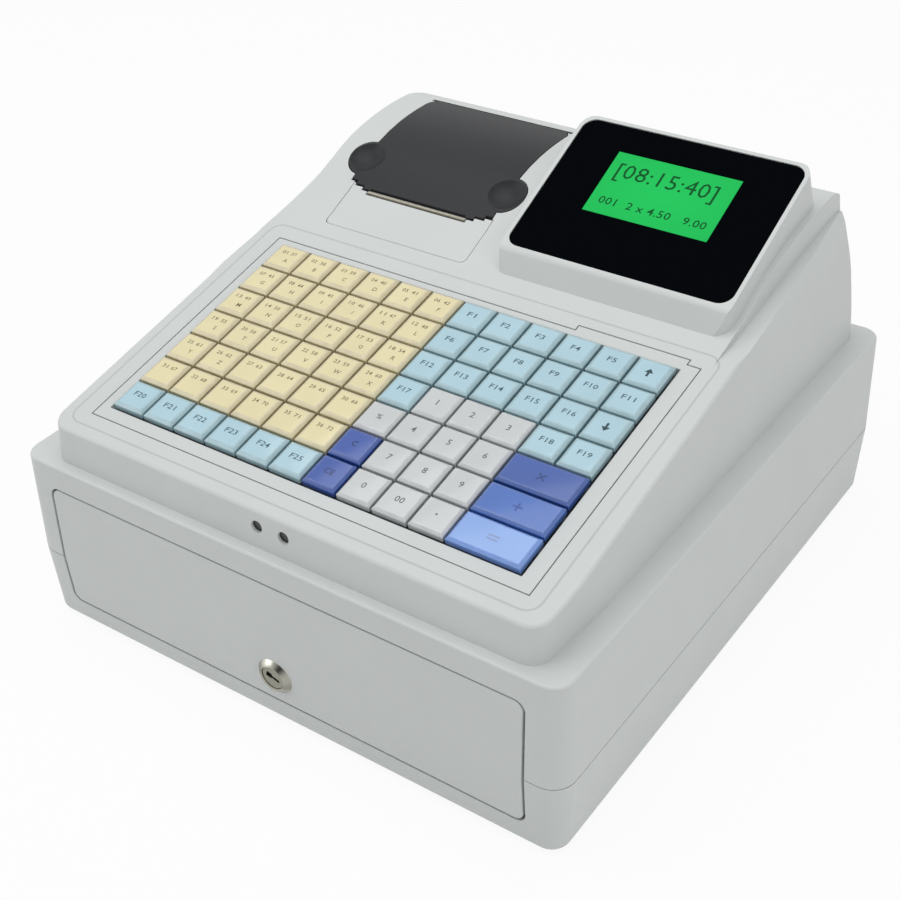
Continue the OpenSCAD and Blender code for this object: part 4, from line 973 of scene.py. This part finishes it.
class REGISTER_OT_printer(bpy.types.Operator):
    """Receipt printer: lid, tear bar, mechanism, platen and paper"""
    bl_idname = "register.printer"
    bl_label = "Receipt printer"

    def execute(self, context):
        look = context.scene.register_colours
        lid = moulded_abs("dark_grey_abs_lid", to_hex(look.lid), grain=0.8, rough=0.36, gloss=0.14)
        dress("printer_cover", "printer_lid", 0.3 * MM, lid)
        dress("tear_bar", "tear_edge_bar", 0.15 * MM,
            plated("satin_tear_steel", "#BDB9AC", rough=0.34))
        dress("printer_frame", "printer_bucket", 0.3 * MM,
            moulded_abs("dark_grey_abs_mechanism", "#3A3C3F", grain=0.8, rough=0.5))
        coat("paper_roll", thermal_paper("coated_thermal_paper", to_hex(look.paper)))
        coat("platen_roller", moulded_rubber("platen_rubber", "#242527"))
        return {"FINISHED"}


# ---- inside and back

class REGISTER_OT_works(bpy.types.Operator):
    """Circuit boards, power supply and mains inlet"""
    bl_idname = "register.works"
    bl_label = "Boards and supply"

    def execute(self, context):
        coat("main_board", circuit_board("green_masked_board"))
        coat("power_supply", laminated_core("varnished_laminations"))
        inlet = merged_copy("power_inlet", "mains_inlet")
        inlet.data.materials.append(gloss_moulding("black_polycarbonate_inlet", "#202123"))
        inlet.data.materials.append(plated("nickel_plated_pins", "#CFCBBF"))
        soften(inlet, 0.3 * MM, 30)
        lo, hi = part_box("power_inlet")
        middle = (lo.x + hi.x) / 2
        pin_off, pin_reach, pin_end = 5 * MM, 1.7 * MM, 4 * MM

        def on_pin(face):
            """Whether a face lies on one of the two pins."""
            c = face.calc_center_median()
            inside = lo.y + pin_end < c.y < hi.y - pin_end
            return inside and any((c.x - middle - side * pin_off) ** 2
                + (c.z - INLET_Z) ** 2 < pin_reach ** 2 for side in (-1, 1))

        if not choose(inlet, want_face=on_pin):
            raise RuntimeError("power_inlet: no pins found")
        inlet.active_material_index = 1
        bpy.ops.object.material_slot_assign()
        bpy.ops.object.mode_set(mode="OBJECT")
        settle(inlet, "power_inlet", nodes=["power_inlet"])
        return {"FINISHED"}


# ---- stage

LAMPS = (("overhead_softbox", (-0.2, -0.05, 1.7), 1.5, 13.2),   # place, side, power
         ("left_fill", (-1.4, -1.0, 1.0), 1.2, 6.0),
         ("right_fill", (1.5, -0.5, 0.8), 1.2, 5.5))
LAMPS_AIM = Vector((0, 0, 0.1))
FLOOR_GLOW = 0.92       # how much of the floor's own white the camera sees
VIEW_ANGLES = (36.869, 35.784, -2.634)      # round to the right, up, roll, in degrees
VIEW_TARGET = Vector((-126.475, 129.044, -78.358)) * MM
VIEW_DISTANCE = 1017.299 * MM
VIEW_LENS = 61.19
VIEW_SHIFT = (0.02717, 0.02168)


class REGISTER_OT_stage(bpy.types.Operator):
    """Pale floor, soft studio light and the camera"""
    bl_idname = "register.stage"
    bl_label = "Stage"

    def execute(self, context):
        scene = context.scene
        floor = new_object("studio_floor", bpy.ops.mesh.primitive_plane_add, size=8)
        mat = bpy.data.materials.new("matt_white_floor")
        tree = blank_tree(mat)
        at = add(tree, "ShaderNodeTexCoord").outputs["Object"]
        grain = add(tree, "ShaderNodeTexNoise", None, {"Vector": at, "Scale": 40.0})
        tone = add(tree, "ShaderNodeMapRange", None,
            {"Value": grain.outputs["Fac"], "To Min": 0.80, "To Max": 0.84})
        matt = add(tree, "ShaderNodeBsdfDiffuse", None, {"Color": tone.outputs["Result"]})
        white = add(tree, "ShaderNodeEmission", None, {"Color": (1, 1, 1, 1), "Strength": 1.0})
        ray = add(tree, "ShaderNodeLightPath")
        part = chain(tree, "ShaderNodeMath", ray.outputs["Is Camera Ray"],
            ("MAXIMUM", ray.outputs["Is Glossy Ray"]), ("MULTIPLY", FLOOR_GLOW))
        mix = add(tree, "ShaderNodeMixShader", None,
            {0: part, 1: matt.outputs["BSDF"], 2: white.outputs["Emission"]})
        add(tree, "ShaderNodeOutputMaterial", None, {"Surface": mix.outputs["Shader"]})
        floor.data.materials.append(mat)

        world = bpy.data.worlds.new("studio_world")
        scene.world = world
        tree = blank_tree(world)
        ray = add(tree, "ShaderNodeLightPath")
        seen = chain(tree, "ShaderNodeMath", ray.outputs["Is Camera Ray"],
            ("MAXIMUM", ray.outputs["Is Glossy Ray"]),
            ("MAXIMUM", ray.outputs["Is Transmission Ray"]))
        level = add(tree, "ShaderNodeMapRange", None,
            {"Value": seen, "To Min": 0.5, "To Max": 1.0})
        sky = add(tree, "ShaderNodeBackground", None,
            {"Color": (1, 1, 1, 1), "Strength": level.outputs["Result"]})
        add(tree, "ShaderNodeOutputWorld", None, {"Surface": sky.outputs["Background"]})

        for name, spot, side, power in LAMPS:
            lamp = new_object(name, bpy.ops.object.light_add, type="AREA", location=spot)
            lamp.data.shape = "SQUARE"
            lamp.data.size = side
            lamp.data.energy = power
            aim = (LAMPS_AIM - Vector(spot)).to_track_quat("-Z", "Y")
            lamp.rotation_euler = aim.to_euler()

        turn, rise, roll = (math.radians(v) for v in VIEW_ANGLES)
        back = Vector((math.sin(turn) * math.cos(rise), -math.cos(turn) * math.cos(rise),
                       math.sin(rise)))
        across = Vector((0, 0, 1)).cross(back).normalized()
        up = back.cross(across)
        right = math.cos(roll) * across + math.sin(roll) * up
        up = math.cos(roll) * up - math.sin(roll) * across
        eye = VIEW_TARGET + back * VIEW_DISTANCE
        cam = new_object("view_camera", bpy.ops.object.camera_add)
        cam.matrix_world = Matrix((
            (right.x, up.x, back.x, eye.x), (right.y, up.y, back.y, eye.y),
            (right.z, up.z, back.z, eye.z), (0, 0, 0, 1)))
        cam.data.sensor_width = 36
        cam.data.lens = VIEW_LENS
        cam.data.shift_x, cam.data.shift_y = VIEW_SHIFT
        cam.data.clip_start = 0.01
        scene.camera = cam
        scene.view_settings.view_transform = "Standard"
        return {"FINISHED"}


# ---- add-on

STEPS = (REGISTER_OT_drawer_unit, REGISTER_OT_drawer_inside, REGISTER_OT_drawer_lock,
         REGISTER_OT_upper_case, REGISTER_OT_key_caps, REGISTER_OT_key_legends,
         REGISTER_OT_display, REGISTER_OT_printer, REGISTER_OT_works, REGISTER_OT_stage)


class REGISTER_PT_builder(bpy.types.Panel):
    """Lists the register's pieces, colours and sizes"""
    bl_label = "Cash register"
    bl_idname = "REGISTER_PT_builder"
    bl_space_type = "VIEW_3D"
    bl_region_type = "UI"
    bl_category = "Register"

    def draw(self, context):
        for step in STEPS:
            self.layout.operator(step.bl_idname)
        for group in (context.scene.register_colours, context.scene.register_sizes):
            box = self.layout.box()
            for key in group.__annotations__:
                box.prop(group, key)


CLASSES = (RegisterColours, RegisterSizes) + STEPS + (REGISTER_PT_builder,)


def register():
    for cls in CLASSES:
        bpy.utils.register_class(cls)
    bpy.types.Scene.register_colours = bpy.props.PointerProperty(type=RegisterColours)
    bpy.types.Scene.register_sizes = bpy.props.PointerProperty(type=RegisterSizes)


def unregister():
    del bpy.types.Scene.register_sizes
    del bpy.types.Scene.register_colours
    for cls in reversed(CLASSES):
        bpy.utils.unregister_class(cls)


def main():
    register()
    for step in STEPS:
        group, name = step.bl_idname.split(".")
        getattr(getattr(bpy.ops, group), name)()


if __name__ == "__main__":
    main()
